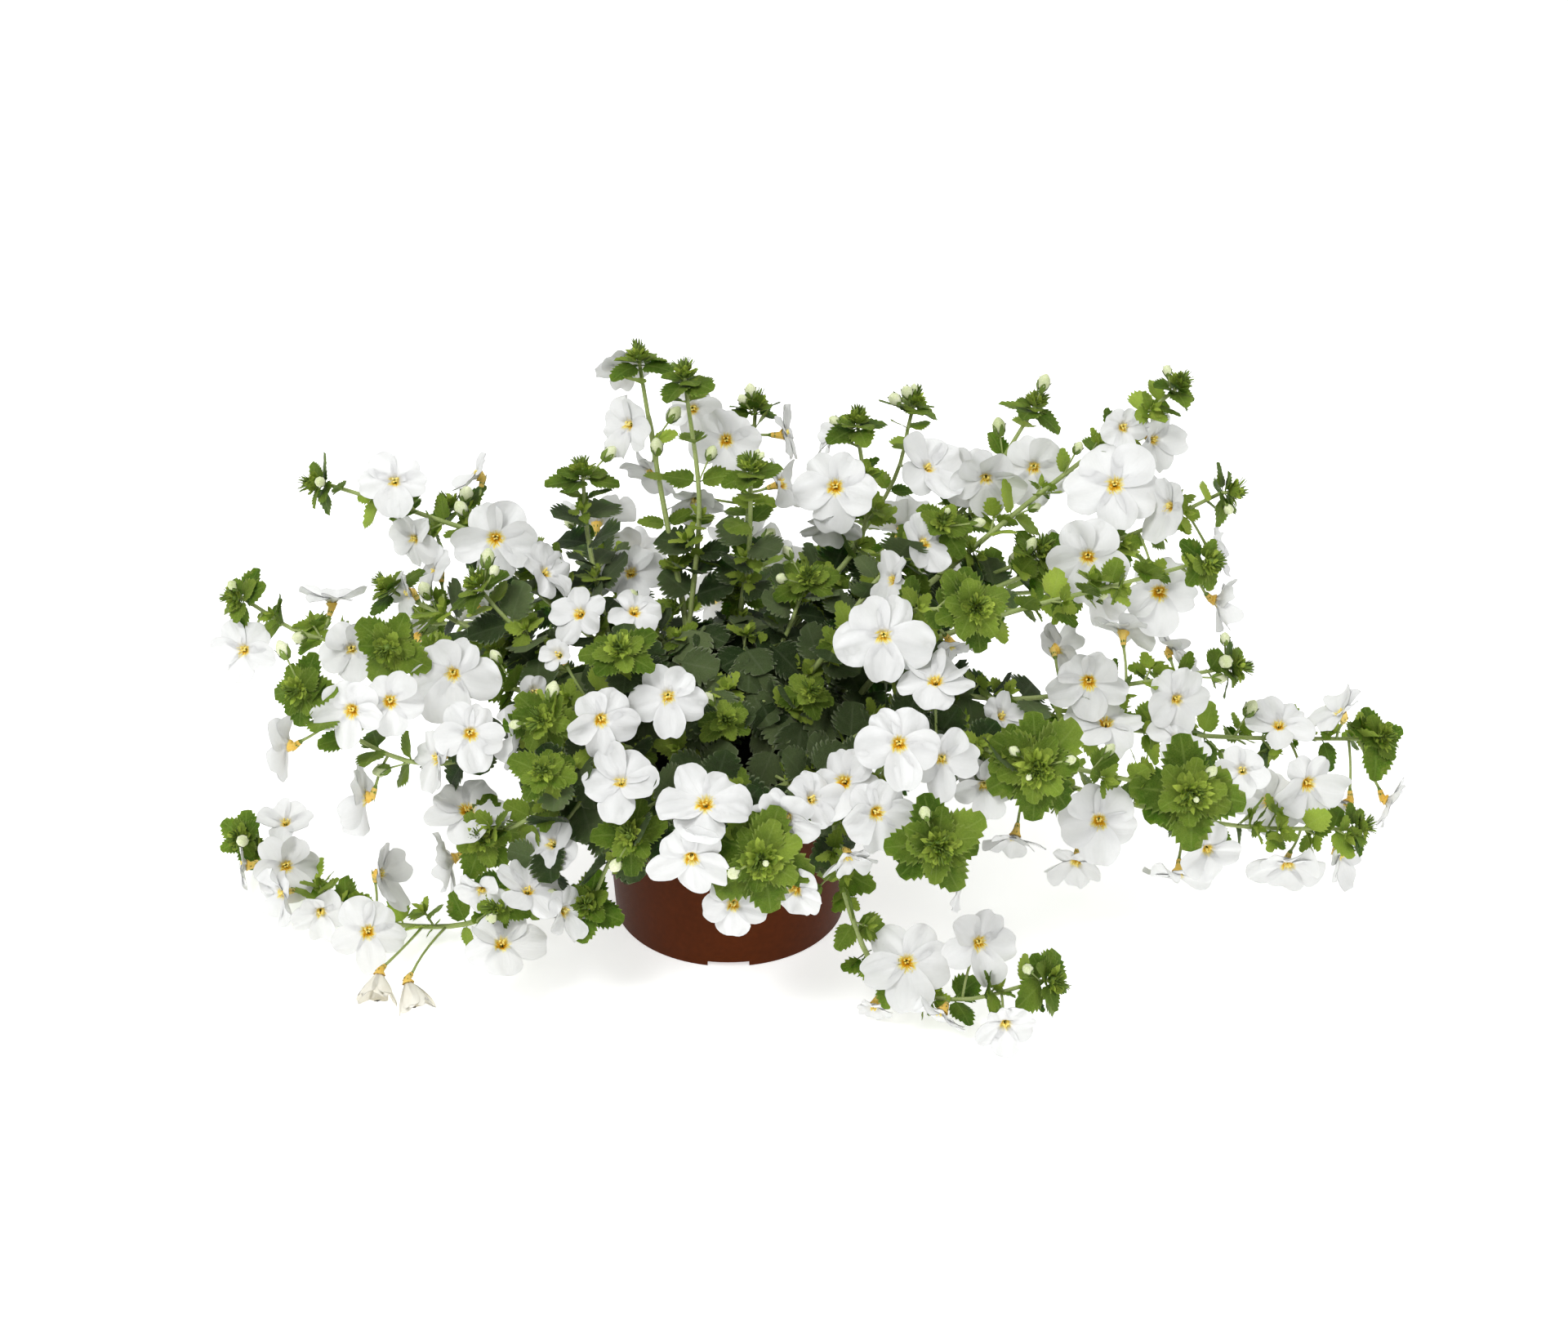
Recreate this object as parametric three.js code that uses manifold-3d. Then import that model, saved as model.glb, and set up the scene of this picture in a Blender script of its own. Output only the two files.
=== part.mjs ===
// Potted bacopa: a low plastic nursery pot, soil, arching leafy stems and white blooms.
// Millimetres, +Z up, -Y to the front, origin in the middle of the pot's base.

import * as THREE from 'three';
import { mergeVertices } from 'three/addons/utils/BufferGeometryUtils.js';
import Module from 'manifold-3d';

const wasm = await Module();
wasm.setup();

// Pot
const POT_HEIGHT = 78;
const RIM_RADIUS = 52.5;
const WALL_TOP_RADIUS = 49.5;
const BASE_RADIUS = 45;
const BAND_HEIGHT = 11;
const POT_WALL = 1.4;
const FOOT_WIDTH = 4.5;
const FOOT_RAISE = 3;
const PAD_RADIUS = 12;
const FOOT_SLOPE = 1;
const BAND_TAPER = 0.8;
const POT_SIDES = 24;
const NOTCH_WIDTH = 16;
const NOTCH_HEIGHT = 2.2;
const NOTCH_COUNT = 4;
const DRAIN_RADIUS = 4.5;
const DRAIN_CIRCLE = 27;
const DRAIN_COUNT = 4;
const DRAIN_SIDES = 8;

// Soil
const SOIL_TOP = 69;
const SOIL_EDGE_DROP = 2.5;
const SOIL_GAP = 0.45;
const SOIL_BUMP = 1.6;
const SOIL_RINGS = [16, 32];
const SOIL_SIDES = 14;
const HOLE_RADIUS = 2.7;
const HOLE_DEPTH = 8;
const HOLE_SIDES = 4;

// Greens
const STEM_RADIUS = 1.25;
const STEM_STEP = 36;
const TRUNK_RADIUS = 2;
const TRUNK_SINK = 6;
const TRUNK_RISE = 5;
const TUBE_START = 3;
const STALK_RADIUS = 0.95;
const ROOT_RADIUS = 0.5;
const NECK_LENGTH = 4;
const NECK_SINK = 1.5;
const BLADE_THICKNESS = 0.7;
const LEAF_LENGTH = 15;
const LEAF_SPACING = 140;
const OLD_LEAF_LENGTH = 18;
const OLD_LEAF_SPACING = 17;
const SEAT_SPACING = 5;
const FIRST_SEAT = 20;
const ROSETTE_ACROSS = 25;
const FULL_ROSETTE = 34;

// Blooms
const THROAT_DEPTH = 2.4;
const TUBE_LENGTH = 3.6;
const TUBE_TOP_RADIUS = 1.6;
const TUBE_END_RADIUS = 1.1;
const MAX_BLOOM_NODES = 36;

const GAP = 0.3;
const MERGE_TOLERANCE = 0.03;
const CROSSING = 0.5;
const GROUND_CLEAR = 0.8;

// The blooms give way to each other along this line, towards the viewer
const GIVE_WAY = new THREE.Vector3(0, -0.866, 0.5);

// Leafy stems: each has a root in the soil, a fork above it and one or more shoots.
// A shoot's route ends at its tip; its rosette is [across, turn, rise].
// turn is 0 to the front and 90 to the right, rise is 0 level and 90 up, in degrees.
const STEMS = {
  upright_left: { root: [-14, 18], fork: [-16, 26, 108], shoots: [
    { route: [[-26, 48, 158], [-34, 70, 200]] },
    { route: [[-11, 36, 158], [-16, 50, 202]] },
  ] },
  upright_back: { root: [2, 24], fork: [4, 30, 110], shoots: [
    { route: [[8, 58, 150], [10, 85, 172]] },
    { route: [[8, 24, 145], [9, 20, 178]] },
  ] },
  upright_right: { root: [14, 20], fork: [24, 30, 108], shoots: [
    { route: [[52, 50, 138], [50, 60, 178]] },
    { route: [[62, 80, 140], [72, 95, 169]] },
  ] },
  right_back: { root: [26, 16], fork: [44, 34, 106], shoots: [
    { route: [[95, 74, 140], [119, 90, 171]] },
    { route: [[92, 46, 118], [118, 42, 132]] },
  ] },
  right_high: { root: [36, 8], fork: [58, 22, 110], shoots: [
    { route: [[98, 48, 136], [134, 64, 160], [172, 75, 187]] },
    { route: [[112, 40, 124], [160, 46, 142], [190, 50, 156]], rosette: [25, 95, 0] },
  ] },
  right_mid: { root: [38, -3], fork: [60, 6, 104], shoots: [
    { route: [[100, 8, 124], [150, 14, 136], [180, 20, 142]], rosette: [26, 50, 20] },
    { route: [[104, -8, 98], [150, 2, 98], [191, 10, 101]], rosette: [25, 80, 10] },
  ] },
  right_far: { root: [36, -14], fork: [64, -10, 96], shoots: [
    { route: [[120, 6, 80], [190, 24, 62], [256, 35, 54]], rosette: [28, 40, 30] },
    { route: [[120, -16, 68], [190, -8, 42], [243, 0, 34]], rosette: [22, 90, 10] },
  ] },
  right_front: { root: [30, -22], fork: [60, -30, 98], shoots: [
    { route: [[120, -38, 88], [172, -46, 80]], rosette: [38, 5, 30] },
    { route: [[90, -52, 104], [113, -66, 104]], rosette: [38, 0, 30] },
  ] },
  front_right: { root: [22, -30], fork: [42, -46, 92], shoots: [
    { route: [[62, -72, 92], [76, -91, 87]], rosette: [36, 10, 20] },
  ] },
  crown_right: { root: [18, -6], fork: [34, -6, 112], shoots: [
    { route: [[62, -18, 140], [90, -31, 150]], rosette: [30, 20, 30] },
    { route: [[58, 16, 138], [81, 30, 152]], rosette: [24, 20, 50] },
  ] },
  trail_right: { root: [14, -34], fork: [36, -58, 92], shoots: [
    { route: [[44, -72, 52], [58, -82, 22], [86, -86, 14], [117, -88, 24]], rosette: [28, 60, 20] },
  ] },
  front: { root: [-4, -32], fork: [-6, -54, 92], shoots: [
    { route: [[8, -78, 91], [13, -96, 84]], rosette: [37, 0, 25] },
    { route: [[-26, -66, 88], [-34, -78, 81]], rosette: [26, -10, 40] },
    { route: [[-36, -66, 74], [-51, -72, 46]], rosette: [24, -20, 40] },
  ] },
  left_front: { root: [-24, -26], fork: [-42, -42, 98], shoots: [
    { route: [[-68, -52, 76], [-91, -53, 64]], rosette: [28, -5, 30] },
    { route: [[-56, -60, 98], [-66, -72, 104]], rosette: [24, -5, 50] },
    { route: [[-64, -60, 68], [-84, -62, 40]], rosette: [20, -30, 20] },
  ] },
  crown_left: { root: [-20, -12], fork: [-32, -20, 110], shoots: [
    { route: [[-52, -42, 116], [-66, -56, 117]], rosette: [27, -10, 30] },
    { route: [[-36, -34, 128], [-38, -46, 139]], rosette: [26, -10, 60] },
  ] },
  left_low: { root: [-32, -14], fork: [-58, -24, 102], shoots: [
    { route: [[-96, -20, 116], [-125, -20, 128]], rosette: [28, -10, 20] },
    { route: [[-104, -38, 88], [-134, -38, 96], [-156, -38, 119]], rosette: [27, -30, 30] },
  ] },
  left_mid: { root: [-38, -2], fork: [-64, -2, 106], shoots: [
    { route: [[-120, 2, 112], [-160, 6, 118], [-183, 10, 131]], rosette: [25, -60, 30] },
    { route: [[-100, 16, 116], [-128, 28, 124]] },
    { route: [[-82, -2, 128], [-92, 0, 140]] },
  ] },
  left_high: { root: [-30, 12], fork: [-52, 24, 112], shoots: [
    { route: [[-80, 38, 136], [-116, 46, 148], [-155, 50, 160]], rosette: [25, -80, 10] },
    { route: [[-86, 46, 126], [-106, 60, 142]] },
    { route: [[-54, 42, 138], [-56, 50, 161]] },
  ] },
  trail_left: { root: [-34, -24], fork: [-56, -38, 94], shoots: [
    { route: [[-74, -38, 50], [-92, -36, 18], [-122, -29, 8], [-152, -17, 8], [-172, 4, 9], [-193, 20, 16]],
      rosette: [25, -30, 40] },
  ] },
  back_left: { root: [-20, 34], fork: [-42, 60, 102], shoots: [
    { route: [[-85, 86, 80], [-123, 100, 70]], rosette: [28, -130, 20] },
    { route: [[-52, 98, 98], [-60, 128, 92]], rosette: [28, 180, 20] },
  ] },
  back: { root: [6, 38], fork: [10, 66, 92], shoots: [
    { route: [[12, 105, 92], [12, 136, 76]], rosette: [28, 180, 15] },
    { route: [[42, 100, 98], [76, 128, 90]], rosette: [26, 160, 20] },
  ] },
  back_right: { root: [26, 30], fork: [50, 52, 104], shoots: [
    { route: [[100, 80, 94], [141, 104, 84]], rosette: [28, 130, 20] },
  ] },
  heart: { root: [-4, 4], fork: [-4, 6, 92], old: true, shoots: [
    { route: [[-18, 12, 104], [-32, 18, 116]], rosette: [22, -60, 60] },
    { route: [[-2, 22, 106], [4, 38, 117]], rosette: [22, 0, 60] },
    { route: [[16, 8, 106], [30, 18, 134]], rosette: [23, 10, 60] },
    { route: [[0, -16, 98], [0, -36, 104]], rosette: [20, 0, 50] },
    { route: [[14, -10, 98], [30, -22, 108]], rosette: [20, 20, 50] },
  ] },
};

// Blooms: [x, y, z, turn, rise, across]
const BLOOMS = [
  // left
  [-128, 45, 164, 0, 35, 26], [-89, 30, 147, -5, 25, 33], [-99, 65, 157, -100, 30, 19],
  [-122, 40, 141, -30, 10, 24], [-114, 30, 132, -80, 10, 25], [-124, 25, 125, -50, 0, 19],
  [-151, 15, 129, 180, 60, 24], [-184, 0, 115, -15, 25, 25], [-141, -12, 122, 5, 20, 23],
  [-138, -45, 115, -15, 20, 26], [-124, -40, 116, 10, 25, 24],
  [-165, -35, 94, -110, 0, 26], [-102, -25, 119, 0, 20, 33], [-94, -50, 108, 20, 20, 26],
  [-108, -48, 96, -60, 10, 25], [-136, -45, 77, -95, -10, 27], [-97, -48, 74, 0, 60, 30],
  [-105, -48, 51, -70, -15, 24], [-69, 20, 138, 60, 50, 24],
  [-71, -32, 115, 20, 30, 14], [-77, -50, 108, -85, 0, 24], [-62, -35, 133, -20, 40, 12],
  [-56, 0, 131, -30, 50, 22], [-45, -60, 120, 10, 20, 26], 
  // left, low and on the ground
  [-65, -62, 68, -50, 45, 26], [-73, -68, 52, 20, 70, 27], [-92, -62, 46, -20, -5, 20],
  [-84, -72, 30, 0, 60, 30], [-59, -78, 48, 40, 15, 20], [-133, -25, 30, 80, 10, 27],
  [-174, -5, 20, 15, 30, 28], [-176, 14, 29, -20, 65, 23], [-193, 5, 14, -80, 10, 18],
  [-175, -16, 13, -50, 5, 24], [-158, -28, 12, 10, 0, 21], [-138, -44, 16, 10, 35, 28],
  [-132, -66, 9, -10, -40, 14], [-120, -70, 8, 20, -40, 13],
  // upright shoots at the back
  [-41, 80, 195, -170, 20, 21], [-39, 59, 181, -40, 10, 27], [-31, 65, 157, -40, -15, 24],
  [-14, 73, 181, 10, 30, 21], [-1, 60, 174, 0, 30, 27],
  [23, 78, 168, 80, 20, 22], [-13, 50, 152, -10, -15, 21], [21, 55, 158, 70, 30, 23],
  [41, 40, 164, 0, 25, 31], [39, 46, 143, 10, -25, 23], [40, 68, 172, -80, 30, 17],
  [-38, 40, 127, 0, 55, 25], [-35, 2, 131, 20, 60, 21], [75, 30, 145, 50, 40, 24],
  [78, 65, 160, 60, 50, 29], [92, 72, 153, -20, 40, 23], [100, 60, 157, 0, 5, 28],
  // front
  [-21, -50, 124, 5, 30, 27], [-38, -70, 100, -10, 60, 29], 
  [-7, -85, 100, 10, 62, 33], [-12, -97, 84, -10, -5, 29], [3, -97, 64, 0, 15, 23],
  [22, -87, 95, -20, 0, 25], [32, -82, 100, 40, 40, 23], [25, -98, 71, -30, -10, 25],
  [43, -75, 103, -20, 40, 27], [55, -80, 93, 20, 20, 29],
  [45, -86, 76, 10, -25, 20], [63, -70, 116, 0, 25, 29], [79, -68, 108, 15, 15, 25],
  [95, -62, 93, 10, 15, 23], [58, -35, 141, 0, 30, 34], [61, -5, 148, -70, 30, 24],
  [77, -45, 128, 10, 68, 29], [84, -20, 127, 30, -45, 18],
  [86, -88, 65, 70, -15, 18],
  // right
  [119, 70, 157, -10, 20, 28], [149, 50, 160, 0, 30, 37], [153, 65, 177, 10, 25, 18],
  [166, 70, 169, 40, 20, 24], [138, 30, 139, -10, 20, 31], [165, 20, 129, 5, 25, 29],
  [169, 55, 147, -60, 10, 25], [190, 42, 135, 80, 20, 20], [189, 25, 122, 80, -15, 21],
  [172, 20, 105, 110, 45, 25], [137, 0, 101, -10, 20, 29], [128, 18, 106, 120, 10, 24],
  [152, 18, 114, 170, 30, 26], [172, 0, 93, 10, 15, 26], [144, -10, 89, 0, 72, 30],
  [172, -10, 82, 60, 60, 24], [104, -20, 98, 60, 40, 18], [139, -50, 70, 0, 20, 31],
  [132, -40, 44, -10, -20, 22], [108, -45, 58, -20, -45, 22], 
  [183, -35, 47, 20, 10, 26], [172, -32, 33, -20, -45, 26],
  // far right
  [195, -25, 77, -10, 40, 21], [215, 20, 70, 0, 68, 26], [239, 25, 73, -120, 45, 23],
  [226, 5, 52, 20, 15, 29], [211, 8, 42, -30, 30, 27], [262, 20, 34, 70, -15, 23],
  [244, 18, 33, -40, -35, 17], [219, -5, 20, 0, -25, 30], [241, 0, 21, 50, -10, 23],
  // right, low and on the ground
  [67, -78, 26, 10, 35, 33], [94, -79, 35, 15, 30, 30], [79, -96, 14, -40, -30, 23],
  [103, -104, 14, 10, -5, 24], [55, -84, 8, -20, -35, 13],
  // back
  [-105, 88, 88, -150, 20, 26], [-132, 108, 60, -140, 0, 25], [-95, 105, 70, 170, 10, 27],
  [-55, 112, 112, 180, 35, 28], [-40, 125, 90, 170, 10, 25],
  [5, 120, 98, 180, 35, 29], [25, 136, 78, 165, 5, 26], [-8, 138, 62, -175, -10, 25],
  [70, 115, 108, 175, 35, 28], [90, 128, 78, 160, 5, 26],
  [130, 95, 104, 150, 35, 28], [152, 110, 78, 140, 0, 26],
];

// Seeded random numbers, alike wherever the same seed is used
function seeded(seed) {
  let state = seed;
  return () => {
    state = (state * 1664525 + 1013904223) % 4294967296;
    return state / 4294967296;
  };
}

const vector = (place) => new THREE.Vector3(...place);

function direction(turn, rise) {
  const t = THREE.MathUtils.degToRad(turn);
  const r = THREE.MathUtils.degToRad(rise);
  return new THREE.Vector3(Math.sin(t) * Math.cos(r), -Math.cos(t) * Math.cos(r), Math.sin(r));
}

// Matrix that puts local +Z along the normal and local +Y as near as it can to up
function placement(origin, normal, up) {
  const x = new THREE.Vector3().crossVectors(up, normal).normalize();
  const y = new THREE.Vector3().crossVectors(normal, x);
  return new THREE.Matrix4().makeBasis(x, y, normal).setPosition(origin);
}

// Solids

function solid(geometry) {
  geometry.deleteAttribute('normal');
  geometry.deleteAttribute('uv');
  const merged = mergeVertices(geometry, 1e-4);
  return new wasm.Manifold(new wasm.Mesh({
    numProp: 3,
    vertProperties: Float32Array.from(merged.attributes.position.array),
    triVerts: Uint32Array.from(merged.index.array),
  }));
}

// Closed mesh from points and triangles, turned so that its faces point out
function closedGeometry(points, faces) {
  let volume = 0;
  for (const [a, b, c] of faces) {
    volume += points[a].dot(new THREE.Vector3().crossVectors(points[b], points[c]));
  }
  const ordered = volume < 0 ? faces.map(([a, b, c]) => [a, c, b]) : faces;
  const geometry = new THREE.BufferGeometry().setFromPoints(points);
  geometry.setIndex(ordered.flat());
  return geometry;
}

function node(name, body, material) {
  const mesh = body.getMesh();
  const geometry = new THREE.BufferGeometry();
  geometry.setAttribute('position', new THREE.Float32BufferAttribute(mesh.vertProperties, 3));
  geometry.setIndex(Array.from(mesh.triVerts));
  const made = new THREE.Mesh(geometry, material);
  made.name = name;
  return made;
}

// The one body of a cut or joined solid: scraps and sealed hollows are left out
function largestBody(body) {
  const bodies = body.decompose();
  return bodies.reduce((best, next) => (next.volume() > best.volume() ? next : best));
}

function boxesMeet(a, b) {
  return [0, 1, 2].every((axis) => a.min[axis] <= b.max[axis] && b.min[axis] <= a.max[axis]);
}

// A solid with its box, and a thicker guard of the same shape for its neighbours to keep clear of
function piece(body, guard = body) {
  return { body, guard, box: guard.boundingBox() };
}

function meets(one, other) {
  return boxesMeet(one.box, other.box) && one.guard.intersect(other.body).volume() > 1e-4;
}

function cutClear(body, others) {
  const box = body.boundingBox();
  const near = others.filter((other) => boxesMeet(box, other.box)).map((other) => other.guard);
  return near.length ? body.subtract(wasm.Manifold.union(near)) : body;
}

// Pot and soil

function turned(profile, sides) {
  const points = profile.map(([radius, height]) => new THREE.Vector2(radius, height));
  return solid(new THREE.LatheGeometry(points, sides).rotateX(Math.PI / 2));
}

function makePot() {
  const underBand = POT_HEIGHT - BAND_HEIGHT;
  const floorTop = FOOT_RAISE + POT_WALL;
  let pot = turned([
    [0, 0],
    [PAD_RADIUS, 0],
    [PAD_RADIUS + FOOT_SLOPE, FOOT_RAISE],
    [BASE_RADIUS - FOOT_WIDTH - FOOT_SLOPE, FOOT_RAISE],
    [BASE_RADIUS - FOOT_WIDTH, 0],
    [BASE_RADIUS, 0],
    [WALL_TOP_RADIUS, underBand],
    [RIM_RADIUS - BAND_TAPER, underBand],
    [RIM_RADIUS, POT_HEIGHT],
    [RIM_RADIUS - POT_WALL, POT_HEIGHT],
    [WALL_TOP_RADIUS - POT_WALL, underBand - POT_WALL],
    [BASE_RADIUS - POT_WALL, floorTop],
    [0, floorTop],
  ], POT_SIDES);
  const notch = new THREE.BoxGeometry(NOTCH_WIDTH, FOOT_WIDTH * 3, NOTCH_HEIGHT * 2);
  notch.translate(0, -BASE_RADIUS + FOOT_WIDTH / 2, 0);
  const drain = new THREE.CylinderGeometry(DRAIN_RADIUS, DRAIN_RADIUS, POT_WALL * 4, DRAIN_SIDES);
  drain.rotateX(Math.PI / 2).translate(0, -DRAIN_CIRCLE, floorTop - POT_WALL / 2);
  for (let i = 0; i < NOTCH_COUNT; i += 1) {
    pot = pot.subtract(solid(notch.clone().rotateZ((i * 2 * Math.PI) / NOTCH_COUNT)));
  }
  for (let i = 0; i < DRAIN_COUNT; i += 1) {
    pot = pot.subtract(solid(drain.clone().rotateZ(((i + 0.5) * 2 * Math.PI) / DRAIN_COUNT)));
  }
  return pot;
}

function makeSoil() {
  const random = seeded(11);
  const bottomRadius = BASE_RADIUS - POT_WALL - SOIL_GAP;
  const topRadius = WALL_TOP_RADIUS - POT_WALL - SOIL_GAP;
  const points = [new THREE.Vector3(0, 0, SOIL_TOP)];
  const ring = (radius, height, bump) => {
    for (let i = 0; i < SOIL_SIDES; i += 1) {
      const angle = (i * 2 * Math.PI) / SOIL_SIDES;
      const lift = bump * (random() * 2 - 1);
      const [x, y] = [radius * Math.cos(angle), radius * Math.sin(angle)];
      points.push(new THREE.Vector3(x, y, height + lift));
    }
  };
  SOIL_RINGS.forEach((radius) => ring(radius, SOIL_TOP, SOIL_BUMP));
  ring(topRadius, SOIL_TOP - SOIL_EDGE_DROP, 0);
  ring(bottomRadius, FOOT_RAISE + POT_WALL + GAP, 0);
  points.push(new THREE.Vector3(0, 0, FOOT_RAISE + POT_WALL + GAP));
  const last = points.length - 1;
  const faces = [];
  for (let i = 0; i < SOIL_SIDES; i += 1) {
    const j = (i + 1) % SOIL_SIDES;
    faces.push([0, 1 + i, 1 + j]);
    for (let k = 0; k < SOIL_RINGS.length + 1; k += 1) {
      const inner = 1 + k * SOIL_SIDES;
      const outer = inner + SOIL_SIDES;
      faces.push([inner + i, outer + i, outer + j], [inner + i, outer + j, inner + j]);
    }
    faces.push([last, last - SOIL_SIDES + j, last - SOIL_SIDES + i]);
  }
  let soil = solid(closedGeometry(points, faces));
  for (const { root } of Object.values(STEMS)) {
    const hole = new THREE.CylinderGeometry(HOLE_RADIUS, HOLE_RADIUS, HOLE_DEPTH * 2, HOLE_SIDES);
    hole.rotateX(Math.PI / 2).translate(root[0], root[1], SOIL_TOP);
    soil = soil.subtract(solid(hole));
  }
  return soil;
}

// Greens

const smooth = (points) => new THREE.CatmullRomCurve3(points, false, 'catmullrom', 0.5);
const steps = (curve) => Math.round(curve.getLength() / STEM_STEP);

// Smooth curves of a stem's shoots: the first rises from the trunk, the others leave it at the fork
function shootCurves(stem) {
  const start = new THREE.Vector3(stem.root[0], stem.root[1], SOIL_TOP + TUBE_START);
  const fork = vector(stem.fork);
  const [leading, ...others] = stem.shoots.map((shoot) => shoot.route.map(vector));
  const main = smooth([start, fork, ...leading]);
  const nearer = (best, next) => (next.distanceTo(fork) < best.distanceTo(fork) ? next : best);
  const joint = main.getSpacedPoints(steps(main)).reduce(nearer);
  return [main, ...others.map((route) => smooth([joint, ...route]))];
}

// Point on the middle line of a curve's tube, which is straight between its steps
function onTube(curve, part) {
  const corners = curve.getSpacedPoints(steps(curve));
  const reach = part * steps(curve);
  const before = Math.min(Math.floor(reach), steps(curve) - 1);
  return corners[before].clone().lerp(corners[before + 1], reach - before);
}

// Three-sided tube along a curve
function tube(curve, radius, count) {
  const section = new THREE.Shape();
  for (let i = 0; i < 3; i += 1) {
    const angle = (i * 2 * Math.PI) / 3;
    const move = i ? 'lineTo' : 'moveTo';
    section[move](radius * Math.cos(angle), radius * Math.sin(angle));
  }
  return solid(new THREE.ExtrudeGeometry(section, { steps: count, extrudePath: curve, bevelEnabled: false }));
}

function guardedTube(curve, radius, count) {
  return piece(tube(curve, radius, count), tube(curve, radius + GAP * 2, count));
}

function trunk(root) {
  const height = TRUNK_SINK + TRUNK_RISE;
  const middle = SOIL_TOP - TRUNK_SINK + height / 2;
  const shape = (radius) => {
    const cylinder = new THREE.CylinderGeometry(radius, radius, height, HOLE_SIDES);
    return solid(cylinder.rotateX(Math.PI / 2).translate(root[0], root[1], middle));
  };
  return piece(shape(TRUNK_RADIUS), shape(TRUNK_RADIUS + GAP));
}

// Thin blade: both faces are the same fan from the middle to the outline
function blade(outline, middle, thickness, matrix) {
  const count = outline.length;
  const lift = new THREE.Vector3(0, 0, thickness / 2);
  const upper = [...outline, middle].map((point) => point.clone().add(lift));
  const lower = [...outline, middle].map((point) => point.clone().sub(lift));
  const points = [...upper, ...lower].map((point) => point.applyMatrix4(matrix));
  const under = count + 1;
  const faces = [];
  for (let i = 0; i < count; i += 1) {
    const j = (i + 1) % count;
    faces.push([count, i, j], [under + count, under + j, under + i]);
    faces.push([i, under + i, under + j], [i, under + j, j]);
  }
  return solid(closedGeometry(points, faces));
}

// Half outlines of a leaf as [across, along], in parts of its half width and length
const YOUNG_LEAF = { width: 0.78, half: [[1, 0.42], [0.76, 0.52], [0.72, 0.76]] };
const LEAF_DISH = 0.08;
const LEAF_DROOP = 0.14;
const OLD_LEAF = { width: 0.95, half: [[0.98, 0.36], [0.8, 0.5], [0.82, 0.74]] };

function leafSolid(kind, length, matrix, grow) {
  const halfWidth = (kind.width * length) / 2 + grow;
  const long = length + grow * 2;
  const point = ([across, along], side) => new THREE.Vector3(
    side * across * halfWidth,
    along * long - grow,
    length * (LEAF_DISH * Math.abs(across) - LEAF_DROOP * along * along),
  );
  const right = kind.half.map((place) => point(place, 1));
  const left = kind.half.map((place) => point(place, -1)).reverse();
  const outline = [point([0, 0], 1), ...right, point([0, 1], 1), ...left];
  return blade(outline, point([0, 0.48], 1), BLADE_THICKNESS + grow * 2, matrix);
}

// Triangles between two rings, each a list of [angle, point] by rising angle
function band(outer, inner) {
  const turn = Math.PI * 2;
  const angle = (ring, n) => ring[n % ring.length][0] + turn * Math.floor(n / ring.length);
  const point = (ring, n) => ring[n % ring.length][1];
  const faces = [];
  let i = 0;
  let k = 0;
  while (i < outer.length || k < inner.length) {
    const outerFirst = angle(outer, i + 1) <= angle(inner, k + 1);
    if (k >= inner.length || (i < outer.length && outerFirst)) {
      faces.push([point(outer, i), point(outer, i + 1), point(inner, k)]);
      i += 1;
    } else {
      faces.push([point(outer, i), point(inner, k + 1), point(inner, k)]);
      k += 1;
    }
  }
  return faces;
}

// Three-sided ring round a point, turned about the hinge line, which every axis of a head crosses
function tubeRing(hinge, centre, axis, radius) {
  const other = new THREE.Vector3().crossVectors(axis, hinge).normalize();
  return [0, 1, 2].map((i) => {
    const angle = (i * Math.PI * 2) / 3;
    const side = hinge.clone().multiplyScalar(Math.cos(angle) * radius);
    return centre.clone().add(side).addScaledVector(other, Math.sin(angle) * radius);
  });
}

// The line at right angles to a head's face direction and to the stalk's direction
function hingeLine(normal, line) {
  const hinge = new THREE.Vector3().crossVectors(normal, line);
  return hinge.length() < 0.1 ? hinge.crossVectors(normal, sideways(normal)).normalize() : hinge.normalize();
}

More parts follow.
